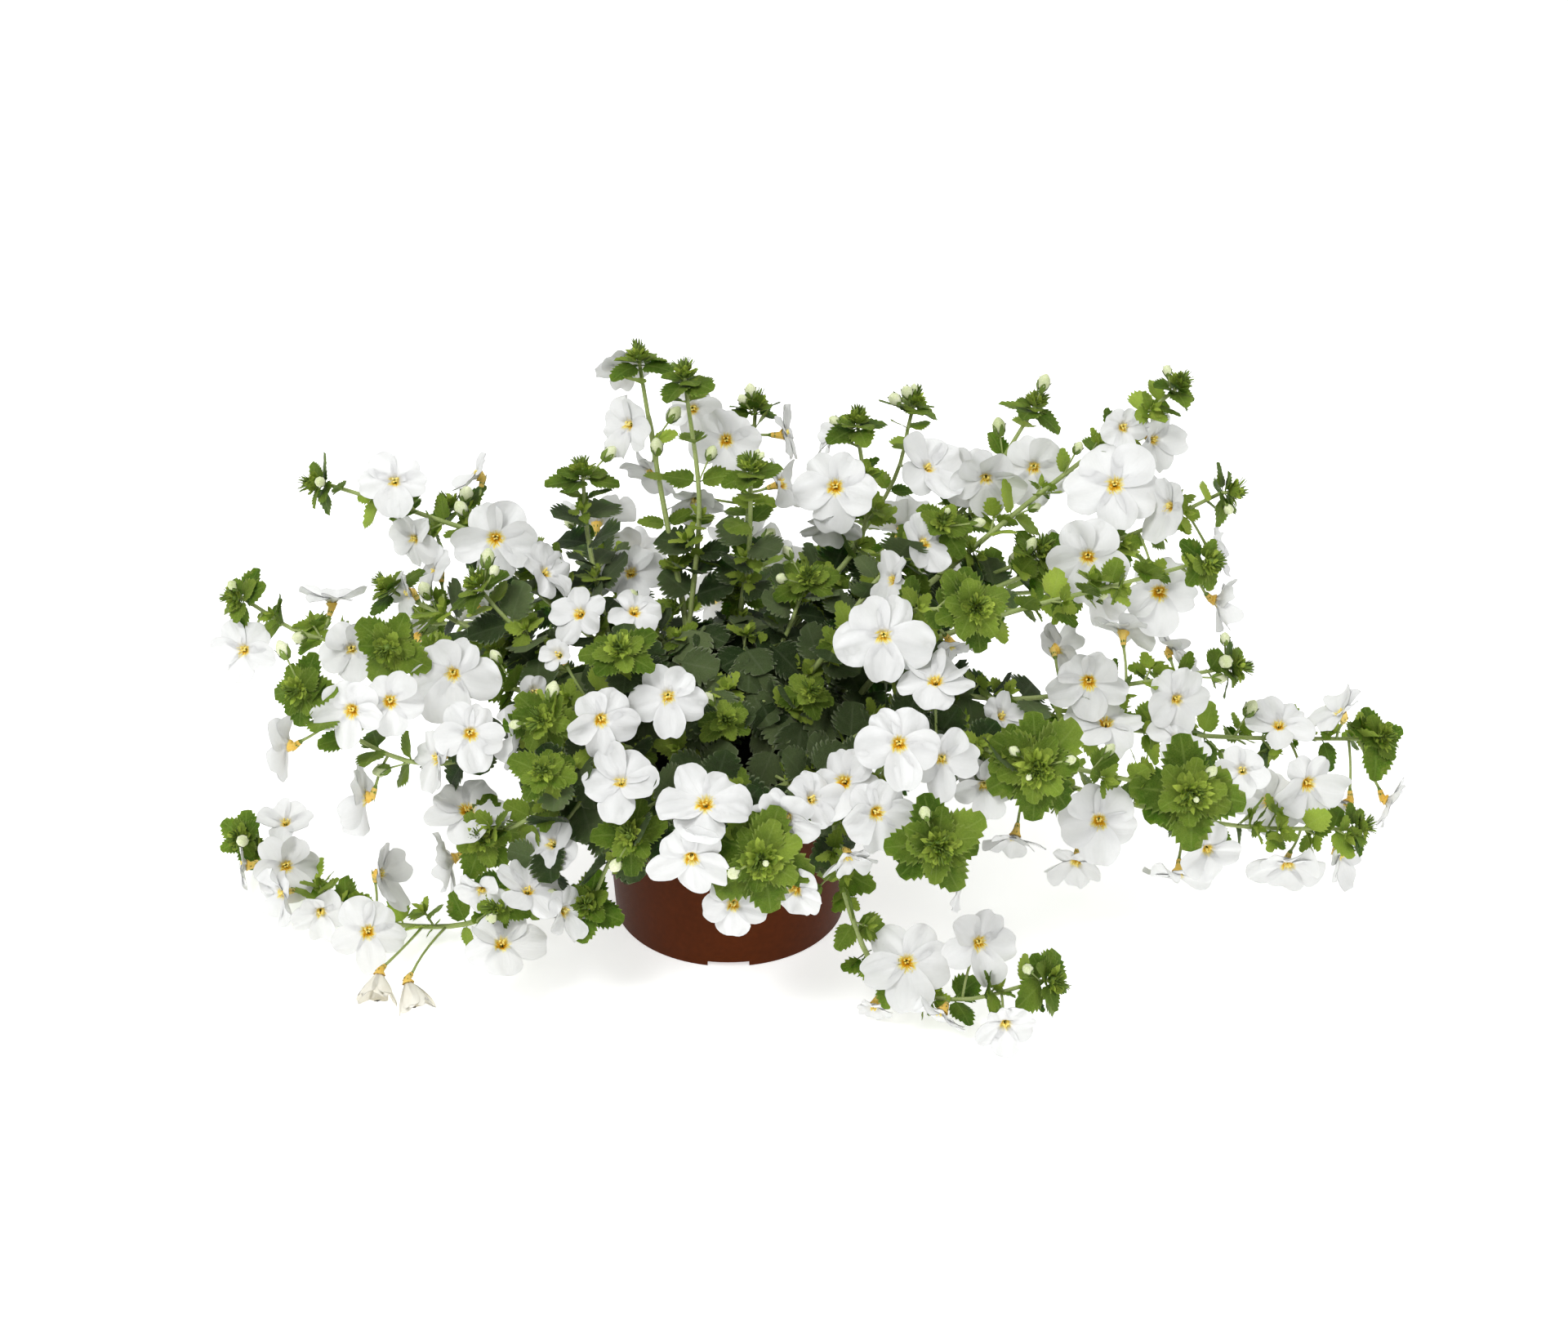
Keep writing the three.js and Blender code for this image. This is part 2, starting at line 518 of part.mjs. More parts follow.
// Lobed head: a thin blade with a raised or sunk middle, and a three-sided neck behind it
// that goes through the stops, each [centre, radius], the way the line goes
function headSolid({ place, normal, line, outline, middle, ring, grow, depth, backRadius, stops }) {
  const matrix = placement(place, normal, sideways(normal));
  const hinge = hingeLine(normal, line);
  const points = [];
  const add = (point) => points.push(point) - 1;
  const set = (point) => add(point.clone().applyMatrix4(matrix));
  const down = new THREE.Vector3(0, 0, -BLADE_THICKNESS - grow * 2);
  const upper = outline.map((spot) => [spot.angle, set(spot.point)]);
  const lower = outline.map((spot) => [spot.angle, set(spot.point.clone().add(down))]);
  const faces = [];
  const count = outline.length;
  for (let i = 0; i < count; i += 1) {
    const j = (i + 1) % count;
    faces.push([upper[j][1], upper[i][1], lower[i][1]], [upper[j][1], lower[i][1], lower[j][1]]);
  }
  const top = set(new THREE.Vector3(0, 0, middle));
  let inmost = upper;
  if (ring) {
    inmost = ring.map((spot) => [spot.angle, set(spot.point)]);
    faces.push(...band(upper, inmost));
  }
  inmost.forEach(([, index], i) => faces.push([index, inmost[(i + 1) % inmost.length][1], top]));

  const back = place.clone().addScaledVector(normal, -depth);
  const inverse = matrix.clone().invert();
  const under = tubeRing(hinge, back, normal.clone().negate(), backRadius).map((point) => {
    const own = point.clone().applyMatrix4(inverse);
    return [Math.atan2(own.x, own.y), add(point)];
  });
  const least = under.reduce((best, entry) => (Math.abs(entry[0]) < Math.abs(best[0]) ? entry : best))[0];
  const ordered = under.map(([angle, index]) => [angle < least ? angle + Math.PI * 2 : angle, index]);
  ordered.sort((one, other) => one[0] - other[0]);
  faces.push(...band(lower, ordered).map(([a, b, c]) => [a, c, b]));
  let last = ordered.map(([, index]) => index);
  const order = last.map((index) => index - Math.min(...last));
  for (const [centre, radius] of stops) {
    const places = tubeRing(hinge, centre, line, radius);
    const next = order.map((i) => add(places[i]));
    for (let i = 0; i < 3; i += 1) {
      const j = (i + 1) % 3;
      faces.push([last[j], last[i], next[i]], [last[j], next[i], next[j]]);
    }
    last = next;
  }
  faces.push([...last].reverse());
  return solid(closedGeometry(points, faces));
}

// Point of an outline at an angle from the top, clockwise seen from the front
function rimPoint(angle, out, lift) {
  return { angle, point: new THREE.Vector3(out * Math.sin(angle), out * Math.cos(angle), lift) };
}

// Young leaves of a shoot's tip: leaflets in one blade round a knot of buds
const TOOTHED_LEAFLETS = { count: 4, spots: [[0, 0.36], [0.26, 0.84], [0.5, 1], [0.74, 0.84]] };
const LEAFLET_LIFT = 0.2;
const KNOT = { across: 0.17, lift: 0.11, top: 0.22, small: 0.14 };
const PLAIN_LEAFLETS = { count: 5, spots: [[0, 0.5], [0.5, 1]] };

function rosetteSolid(shoot, tip, along, grow) {
  const [across, turn, rise] = shoot.rosette ?? [ROSETTE_ACROSS, null, null];
  const upward = along.clone().add(new THREE.Vector3(0, 0, 0.5)).normalize();
  const normal = turn === null ? upward : direction(turn, rise);
  const full = across >= FULL_ROSETTE;
  const radius = across / 2 + grow;
  const leaflets = full ? TOOTHED_LEAFLETS : PLAIN_LEAFLETS;
  const outline = [];
  for (let leaflet = 0; leaflet < leaflets.count; leaflet += 1) {
    leaflets.spots.forEach(([part, reach]) => {
      const angle = ((leaflet + part) * Math.PI * 2) / leaflets.count;
      outline.push(rimPoint(angle, radius * reach, LEAFLET_LIFT * radius * reach + grow));
    });
  }
  const knotPoint = (i) => rimPoint((i * Math.PI * 2) / 3, across * KNOT.across, across * KNOT.lift);
  return headSolid({
    place: tip.clone().addScaledVector(normal, NECK_LENGTH),
    normal,
    line: along.clone().negate(),
    outline,
    middle: across * (full ? KNOT.top : KNOT.small),
    ring: full ? [0, 1, 2].map(knotPoint) : null,
    grow,
    depth: BLADE_THICKNESS * 2 + grow,
    backRadius: STEM_RADIUS + grow,
    stops: [[tip.clone().addScaledVector(along, -NECK_SINK), ROOT_RADIUS + grow]],
  });
}

function makeRosette(shoot, tip, along) {
  return piece(rosetteSolid(shoot, tip, along, 0), rosetteSolid(shoot, tip, along, GAP * 1.5));
}

// A level direction across the normal, or forwards where the normal stands upright
function sideways(normal) {
  return Math.abs(normal.z) > 0.95 ? new THREE.Vector3(0, -1, 0) : new THREE.Vector3(0, 0, 1);
}

// Blooms

// Angles from the top where the five lobes part, and each lobe's reach
const LOBE_EDGES = [0, 68, 140, 220, 292, 360];
const LOBE_REACH = [0.9, 1, 1, 1, 0.9];
const NOTCH_REACH = 0.5;
const LOBE_LIFT = 0.1;

// Where the tube behind the petals bends over to the stalk, and the stalk's line to the stem
function setStalk(bloom, seat) {
  const back = bloom.place.clone().addScaledVector(bloom.normal, -THROAT_DEPTH - 1);
  bloom.stem = seat.stem;
  bloom.seat = seat.place;
  const lean = seat.place.clone().sub(back).normalize();
  bloom.tubeEnd = back.addScaledVector(lean, TUBE_LENGTH);
  bloom.line = seat.place.clone().sub(bloom.tubeEnd).normalize();
}

// A bloom: five lobes round a sunk throat and a tube behind, which runs on as the stalk
// where the bloom is one body with its stem
function bloomSolid(bloom, withStalk, grow) {
  const radius = bloom.across / 2 + grow;
  const outline = [];
  LOBE_REACH.forEach((reach, lobe) => {
    const start = LOBE_EDGES[lobe];
    const span = LOBE_EDGES[lobe + 1] - start;
    const spot = (part, out, lift) => {
      outline.push(rimPoint(THREE.MathUtils.degToRad(start + span * part), out, lift + grow));
    };
    spot(0, radius * NOTCH_REACH, 0);
    spot(0.5, radius * reach, radius * LOBE_LIFT);
  });
  return headSolid({
    place: bloom.place,
    normal: bloom.normal,
    line: bloom.line,
    outline,
    middle: grow - THROAT_DEPTH / 2,
    ring: null,
    grow,
    depth: THROAT_DEPTH + grow,
    backRadius: TUBE_TOP_RADIUS + grow,
    stops: [withStalk ? [bloom.seat, ROOT_RADIUS + grow] : [bloom.tubeEnd, TUBE_END_RADIUS + grow]],
  });
}

// A bloom cut clear of other pieces, with its guard
function bloomPiece(bloom, withStalk, others) {
  const body = cutClear(bloomSolid(bloom, withStalk, 0), others);
  return piece(largestBody(body), bloomSolid(bloom, withStalk, GAP));
}

// Straight tapered stalk of a bloom that is a body of its own, its calyx end just off the tube
function stalk(bloom, grow) {
  const start = bloom.tubeEnd.clone().addScaledVector(bloom.line, GAP * 1.2);
  const hinge = hingeLine(bloom.normal, bloom.line);
  const points = [
    ...tubeRing(hinge, start, bloom.line, STALK_RADIUS + grow),
    ...tubeRing(hinge, bloom.seat, bloom.line, ROOT_RADIUS + grow),
  ];
  const faces = [[0, 1, 2], [5, 4, 3]];
  for (let i = 0; i < 3; i += 1) {
    const j = (i + 1) % 3;
    faces.push([i, i + 3, j], [j, i + 3, j + 3]);
  }
  return solid(closedGeometry(points, faces));
}

// Blooms ease apart, and off the stems, along the line to the viewer, and stay off the ground
function easeBlooms(blooms, stemPoints) {
  const rounds = 8;
  const spread = 0.56;
  const slab = 2.8;
  const furthest = 14;
  for (let round = 0; round < rounds; round += 1) {
    for (let i = 0; i < blooms.length; i += 1) {
      for (let j = 0; j < i; j += 1) {
        const offset = blooms[i].place.clone().sub(blooms[j].place);
        const short = (spread * (blooms[i].across + blooms[j].across)) / 2 - offset.length();
        if (short > 0) {
          const push = offset.dot(GIVE_WAY) >= 0 ? short / 2 : -short / 2;
          shift(blooms[i], push, furthest);
          shift(blooms[j], -push, furthest);
        }
      }
      const facing = GIVE_WAY.dot(blooms[i].normal);
      if (Math.abs(facing) > 0.4) {
        for (const spot of stemPoints) {
          const offset = spot.place.clone().sub(blooms[i].place);
          const height = offset.dot(blooms[i].normal);
          const out = offset.addScaledVector(blooms[i].normal, -height).length();
          if (Math.abs(height) < slab && out < blooms[i].across / 2) {
            shift(blooms[i], (height + slab) / facing, furthest);
          }
        }
      }
    }
  }
  for (const bloom of blooms) {
    const rim = (bloom.across / 2) * Math.sqrt(1 - bloom.normal.z ** 2) + LOBE_LIFT * bloom.across;
    const tube = (THROAT_DEPTH + TUBE_LENGTH) * Math.max(0, bloom.normal.z);
    bloom.place.z = Math.max(bloom.place.z, rim + GROUND_CLEAR, tube + GROUND_CLEAR);
  }
}

function shift(bloom, push, furthest) {
  const wanted = THREE.MathUtils.clamp(bloom.shift + push, -furthest, furthest);
  bloom.place.addScaledVector(GIVE_WAY, wanted - bloom.shift);
  bloom.shift = wanted;
}

// The point of a stem that a bloom's stalk grows from: near it, behind its petals, not too close
const SEAT_BEHIND = 4;
const FRONT_COST = 25;
const LEAST_STALK = 5;

function seatOf(bloom, stemPoints) {
  const base = bloom.place.clone().addScaledVector(bloom.normal, -THROAT_DEPTH - TUBE_LENGTH);
  let best = null;
  let least = Infinity;
  for (const spot of stemPoints) {
    const away = spot.place.distanceTo(base);
    const behind = spot.place.clone().sub(bloom.place).dot(bloom.normal) < -SEAT_BEHIND;
    const cost = away + (behind ? 0 : FRONT_COST) + Math.max(0, LEAST_STALK - away) * 4;
    if (cost < least) {
      least = cost;
      best = spot;
    }
  }
  return best;
}

// Places for the opposite leaves of a shoot, each pair a quarter turn from the last
const TIP_LENGTH = 7;
const BARE_LENGTH = { young: 42, old: 12 };

function leafPlaces(stem, curve, random) {
  const length = curve.getLength();
  const spacing = stem.old ? OLD_LEAF_SPACING : LEAF_SPACING;
  const full = stem.old ? OLD_LEAF_LENGTH : LEAF_LENGTH;
  const first = stem.old ? BARE_LENGTH.old : BARE_LENGTH.young;
  const places = [];
  let turn = random() * Math.PI;
  for (let along = length - TIP_LENGTH; along > first; along -= spacing * (0.85 + 0.3 * random())) {
    const part = along / length;
    const origin = onTube(curve, part);
    const tangent = curve.getTangentAt(part);
    const side = new THREE.Vector3().crossVectors(tangent, sideways(tangent)).normalize();
    for (const half of [0, Math.PI]) {
      const out = side.clone().applyAxisAngle(tangent, turn + half);
      const size = full * (1 - 0.3 * part) * (0.85 + 0.35 * random());
      places.push({ origin, tangent, out, size });
      if (half) places[places.length - 2].partner = places[places.length - 1];
    }
    turn += Math.PI / 2;
  }
  return places;
}

// One try at a leaf: each further try swings it round the stem and folds it towards the tip
const LEAF_SWINGS = [0, 0.5, -0.5, 0.9, -0.9];

function leafPiece(place, kind, attempt) {
  const swing = LEAF_SWINGS[attempt];
  const out = place.out.clone().applyAxisAngle(place.tangent, swing);
  const axis = out.addScaledVector(place.tangent, 0.45 + 0.25 * attempt).normalize();
  const normal = place.tangent.clone().add(new THREE.Vector3(0, 0, 0.8));
  normal.addScaledVector(axis, -normal.dot(axis)).normalize();
  const matrix = placement(place.origin, normal, axis);
  return piece(leafSolid(kind, place.size, matrix, 0), leafSolid(kind, place.size, matrix, GAP * 1.2));
}

// Assembly

function material(color, roughness) {
  return new THREE.MeshStandardMaterial({ color, roughness, metalness: 0 });
}

const materials = {
  pot: material(0x6e3220, 0.45),
  soil: material(0x2b211a, 0.95),
  young: material(0x6f9a3c, 0.6),
  old: material(0x33502f, 0.65),
  petal: material(0xf6f7f6, 0.55),
};

const pot = makePot();
const soil = makeSoil();
const potPieces = [piece(pot), piece(soil)];

const stems = Object.entries(STEMS).map(([name, stem]) => {
  const curves = shootCurves(stem);
  const tubes = curves.map((curve) => guardedTube(curve, STEM_RADIUS, steps(curve)));
  return { ...stem, name, curves, pieces: [trunk(stem.root), ...tubes], leaves: [] };
});

const stemPoints = stems.flatMap((stem) => stem.curves.flatMap((curve) => {
  const places = [];
  const length = curve.getLength();
  for (let along = FIRST_SEAT; along < length - SEAT_SPACING; along += SEAT_SPACING) {
    places.push(onTube(curve, along / length));
  }
  return places.map((place) => ({ place, stem }));
}));

const blooms = BLOOMS.map(([x, y, z, turn, rise, across]) => (
  { place: new THREE.Vector3(x, y, z), normal: direction(turn, rise), across, shift: 0 }
));
easeBlooms(blooms, stemPoints);

for (const bloom of blooms) {
  setStalk(bloom, seatOf(bloom, stemPoints));
  bloom.stalk = piece(stalk(bloom, 0), stalk(bloom, GAP * 2));
  bloom.stem.pieces.push(bloom.stalk);
}

// Rosettes give way to the stems and stalks of the other leafy stems
for (const stem of stems) {
  stem.rosettes = stem.curves.map((curve, i) => {
    const [before, tip] = curve.getSpacedPoints(steps(curve)).slice(-2);
    return makeRosette(stem.shoots[i], tip, tip.clone().sub(before).normalize());
  });
}
stems.forEach((stem) => {
  const others = stems.filter((other) => other !== stem).flatMap((other) => other.pieces);
  stem.rosettes.forEach((rosette) => {
    rosette.body = largestBody(cutClear(rosette.body, others));
  });
});

// Petals give way to all the greens
const greens = stems.flatMap((stem) => [...stem.pieces, ...stem.rosettes]);
for (const bloom of blooms) {
  bloom.piece = bloomPiece(bloom, false, [...greens, ...potPieces]);
}

// Blooms whose petals cross hold together as one bunch
const bunches = [];
const petalsCross = (one, other) => (
  boxesMeet(one.piece.box, other.piece.box) && one.piece.body.intersect(other.piece.body).volume() > CROSSING
);
for (const bloom of blooms) {
  const crossed = bunches.filter((bunch) => bunch.some((other) => petalsCross(bloom, other)));
  const joined = [bloom, ...crossed.flat()];
  crossed.forEach((bunch) => bunches.splice(bunches.indexOf(bunch), 1));
  bunches.push(joined);
}
bunches.sort((a, b) => b.length - a.length || b[0].across - a[0].across);

// Past the limit on nodes a single bloom is one body with its leafy stem
const nodeBunches = bunches.slice(0, MAX_BLOOM_NODES);
const fusedBlooms = bunches.slice(MAX_BLOOM_NODES).flat();
for (const bloom of fusedBlooms) {
  const others = stems.filter((stem) => stem !== bloom.stem);
  const near = others.flatMap((stem) => [...stem.pieces, ...stem.rosettes]);
  bloom.stem.pieces.splice(bloom.stem.pieces.indexOf(bloom.stalk), 1);
  bloom.piece = bloomPiece(bloom, true, [...near, ...potPieces]);
}

// Petals that only touch another node's petals are cut clear of them
const holder = (bloom) => nodeBunches.find((bunch) => bunch.includes(bloom)) ?? bloom.stem;
blooms.forEach((bloom, i) => {
  const others = blooms.slice(0, i).filter((other) => holder(other) !== holder(bloom));
  bloom.piece.body = largestBody(cutClear(bloom.piece.body, others.map((other) => other.piece)));
});

// Leaves are left out where every try would cross another part
const leafRandom = seeded(7);
for (const stem of stems) {
  const kind = stem.old ? OLD_LEAF : YOUNG_LEAF;
  const others = stems.filter((other) => other !== stem);
  for (const curve of stem.curves) {
    for (const place of leafPlaces(stem, curve, leafRandom)) {
      const ownTube = stem.pieces[1 + stem.curves.indexOf(curve)];
      const neighbours = [
        ...potPieces,
        ...blooms.map((bloom) => bloom.piece),
        ...others.flatMap((other) => [...other.pieces, ...other.rosettes, ...other.leaves]),
        ...stem.pieces.filter((part) => part !== ownTube),
        ...stem.rosettes,
        ...stem.leaves.filter((leaf) => leaf.place.partner !== place),
      ];
      for (let attempt = 0; attempt < LEAF_SWINGS.length; attempt += 1) {
        const leaf = leafPiece(place, kind, attempt);
        if (leaf.box.min[2] > GROUND_CLEAR && !neighbours.some((other) => meets(leaf, other))) {
          stem.leaves.push({ ...leaf, place });
          break;
        }
      }
    }
  }
}

const plant = new THREE.Group();
plant.add(node('pot', pot, materials.pot), node('soil', soil, materials.soil));
for (const stem of stems) {
  const own = fusedBlooms.filter((bloom) => bloom.stem === stem).map((bloom) => bloom.piece);
  const parts = [...stem.pieces, ...stem.rosettes, ...stem.leaves, ...own].map((part) => part.body);
  const body = largestBody(wasm.Manifold.union(parts)).simplify(MERGE_TOLERANCE);
  plant.add(node(`stem_${stem.name}`, body, stem.old ? materials.old : materials.young));
}
nodeBunches.forEach((bunch, i) => {
  const body = largestBody(wasm.Manifold.union(bunch.map((bloom) => bloom.piece.body)))
    .simplify(MERGE_TOLERANCE);
  plant.add(node(`blooms_${String(i + 1).padStart(2, '0')}`, body, materials.petal));
});

export default plant;
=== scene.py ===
# Potted bacopa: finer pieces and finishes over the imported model, in metres.
import random
from bisect import bisect_right
from collections import namedtuple
from functools import partialmethod
from math import cos, exp, hypot, pi, radians, sin, sqrt, tau
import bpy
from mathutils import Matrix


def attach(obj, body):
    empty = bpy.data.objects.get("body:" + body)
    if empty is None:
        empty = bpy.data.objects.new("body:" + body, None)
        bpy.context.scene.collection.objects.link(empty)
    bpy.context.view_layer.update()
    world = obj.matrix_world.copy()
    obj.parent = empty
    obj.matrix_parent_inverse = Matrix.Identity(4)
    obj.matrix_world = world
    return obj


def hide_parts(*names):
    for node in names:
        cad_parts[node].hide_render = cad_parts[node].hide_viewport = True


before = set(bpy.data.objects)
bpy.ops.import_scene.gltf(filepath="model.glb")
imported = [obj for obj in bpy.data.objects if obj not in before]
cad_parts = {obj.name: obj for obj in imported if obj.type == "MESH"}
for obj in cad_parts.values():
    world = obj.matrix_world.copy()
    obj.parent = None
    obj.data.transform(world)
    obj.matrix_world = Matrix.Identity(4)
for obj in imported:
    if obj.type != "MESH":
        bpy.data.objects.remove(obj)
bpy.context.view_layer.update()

from types import SimpleNamespace

import bpy
from mathutils import Matrix, Quaternion, Vector, kdtree

MM = 0.001
UP = Vector((0, 0, 1))

# Pot and soil, in millimetres
POT_HEIGHT = 78
RIM_RADIUS = 52.5
WALL_TOP_RADIUS = 49.5
BASE_RADIUS = 45
BAND_HEIGHT = 11
POT_WALL = 1.4
FOOT_WIDTH = 4.5
FOOT_RAISE = 3
PAD_RADIUS = 12
NOTCH_WIDTH = 16
NOTCH_HEIGHT = 2.2
DRAIN_RADIUS = 4.5
DRAIN_CIRCLE = 27
POT_SIDES = 96
SMOOTH_ANGLE = radians(32)
SOIL_TOP = 69
CRUMBS = 420
CRUMB_REACH = 46.5
CRUMB_SIZES = (0.8, 2.2)

# Greens
STEM_STEP = 36
LEAF_LENGTH = 15
LEAF_SPACING = 140
OLD_LEAF_LENGTH = 18
OLD_LEAF_SPACING = 17
SEAT_SPACING = 5
FIRST_SEAT = 20
NECK_LENGTH = 4
TIP_LENGTH = 7
BARE_LENGTH = 42
OLD_BARE_LENGTH = 12
LEAF_DROOP = 0.14
LEAF_SWINGS = [0, 0.5, -0.5, 0.9, -0.9]
FOUND_NEAR = 0.75
ROSETTE_ACROSS = 25
LARGE_ROSETTE = 30
# How far up a stem its smaller leaves are still broad and dark
LOW_UPRIGHT = 40
LOW = 62
PETIOLE = 0.14
PLANT_TOP = 211
TINTS = 10
# Where the light comes from: leaves turn their faces to it
SUNWARD = Vector((0, -0.55, 0.8))

# Blooms
THROAT_DEPTH = 2.4
TUBE_LENGTH = 3.6
LOBES = 5
LOBE_EDGES = [0, 68, 140, 220, 292, 360]
LOBE_REACH = [0.9, 1, 1, 1, 0.9]
LOBE_SIZE = [1.03, 1.06, 1.12, 1.06, 1.03]
LOBE_BROAD = 0.46
LOBE_LIFT = 0.1
LOBE_ROWS = [0, 0.06, 0.14, 0.26, 0.42, 0.58, 0.72, 0.84, 0.92, 0.97, 0.992, 1.0]
LOBE_SHARES = [k / 4 - 1 for k in range(9)]
THROATS = 6
THROAT_REACH = 0.8
GROUND_CLEAR = 0.8
GIVE_WAY = Vector((0, -0.866, 0.5))
MOST_SHIFT = 14
EASE_ROUNDS = 8
LEAST_FACING = 0.4
CROWDING = 0.28
PETAL_CLEAR = 1.6
PETAL_SPAN = 0.46
STEM_CLEAR = 2.8
SEAT_BEHIND = 4
FRONT_COST = 25
LEAST_STALK = 5
WITHERED_ACROSS = 15
# A sepal: part of its length, way out and width
SEPAL_ROWS = [(0, 0.5, 0.7), (0.4, 1, 0.85), (0.75, 1.08, 0.6), (1, 1.3, 0.08)]
# Anthers in the throat
ANTHERS = [(-0.8, 0.7, -0.5), (0.75, 0.8, -0.4), (-0.4, -0.3, -1), (0.5, -0.1, -0.9)]

# Leaves of the middle and over the rim
DOME_MIDDLE = Vector((0, 2, 84))
DOME_REACH = Vector((44, 42, 33))
DOME_LEAVES = 92
GOLDEN_TURN = 2.39996
RIM_TURNS = [-170, -152, -136, -121, -108, -92, -77, -63, -48, -33, -15, 10, 40, 75, 105, 135, 160]

# Seeds
LEAF_SEED = 7
SOIL_SEED = 31
STEM_SEED = 100
BLOOM_SEED = 500

# Camera, in metres, degrees and millimetres of focal length
CAMERA_TARGET = Vector((0.0214, 0, 0.1087))
CAMERA_DISTANCE = 1.3
CAMERA_RISE = radians(30)
CAMERA_FOCAL = 78.45

# One source of chance, seeded anew for each piece
rng = random.Random()
uniform = rng.uniform

# Finishes, in the order of the material slots of a piece
FINISHES = ["stem", "young", "old", "petal", "tube", "calyx", "bud", "anther", "hair", "withered"]

# The cut of a leaf: width by length, teeth on a side, form of a tooth, where the leaf is broadest,
# how round, depth of its teeth, columns of its mesh.
# A tooth is rows of (part of the tooth, height of its crest, forward lean).
Cut = namedtuple("Cut", "width teeth tooth peak round depth columns")
POINTED = ((0.05, 0, -0.01), (0.7, 1, 0.045))
ROUNDED = ((0.02, 0, -0.015), (0.36, 0.74, 0.005), (0.72, 1, 0.04))
YOUNG = Cut(0.86, 6, POINTED, 0.68, 0.6, 0.19, 5)
OLD = Cut(1.08, 6, ROUNDED, 0.82, 0.5, 0.28, 7)
SMALL = Cut(0.82, 4, POINTED, 0.7, 0.6, 0.26, 3)
BRACT = Cut(0.46, 0, POINTED, 0.8, 0.8, 0, 3)
# Tiers of a rosette: pairs, lean in degrees, leaf length as a part of the rosette, tint, cut
ROSETTE_TIERS = [(2, 88, 0.53, 0.5, YOUNG), (2, 68, 0.38, 2, YOUNG), (2, 50, 0.25, 4.5, SMALL),
                 (3, 34, 0.19, 7, BRACT)]
# Pairs of a side shoot: lean in degrees, leaf length as a part of the shoot's
SHOOT_PAIRS = [(78, 0.66), (55, 0.56), (30, 0.42), (12, 0.3)]

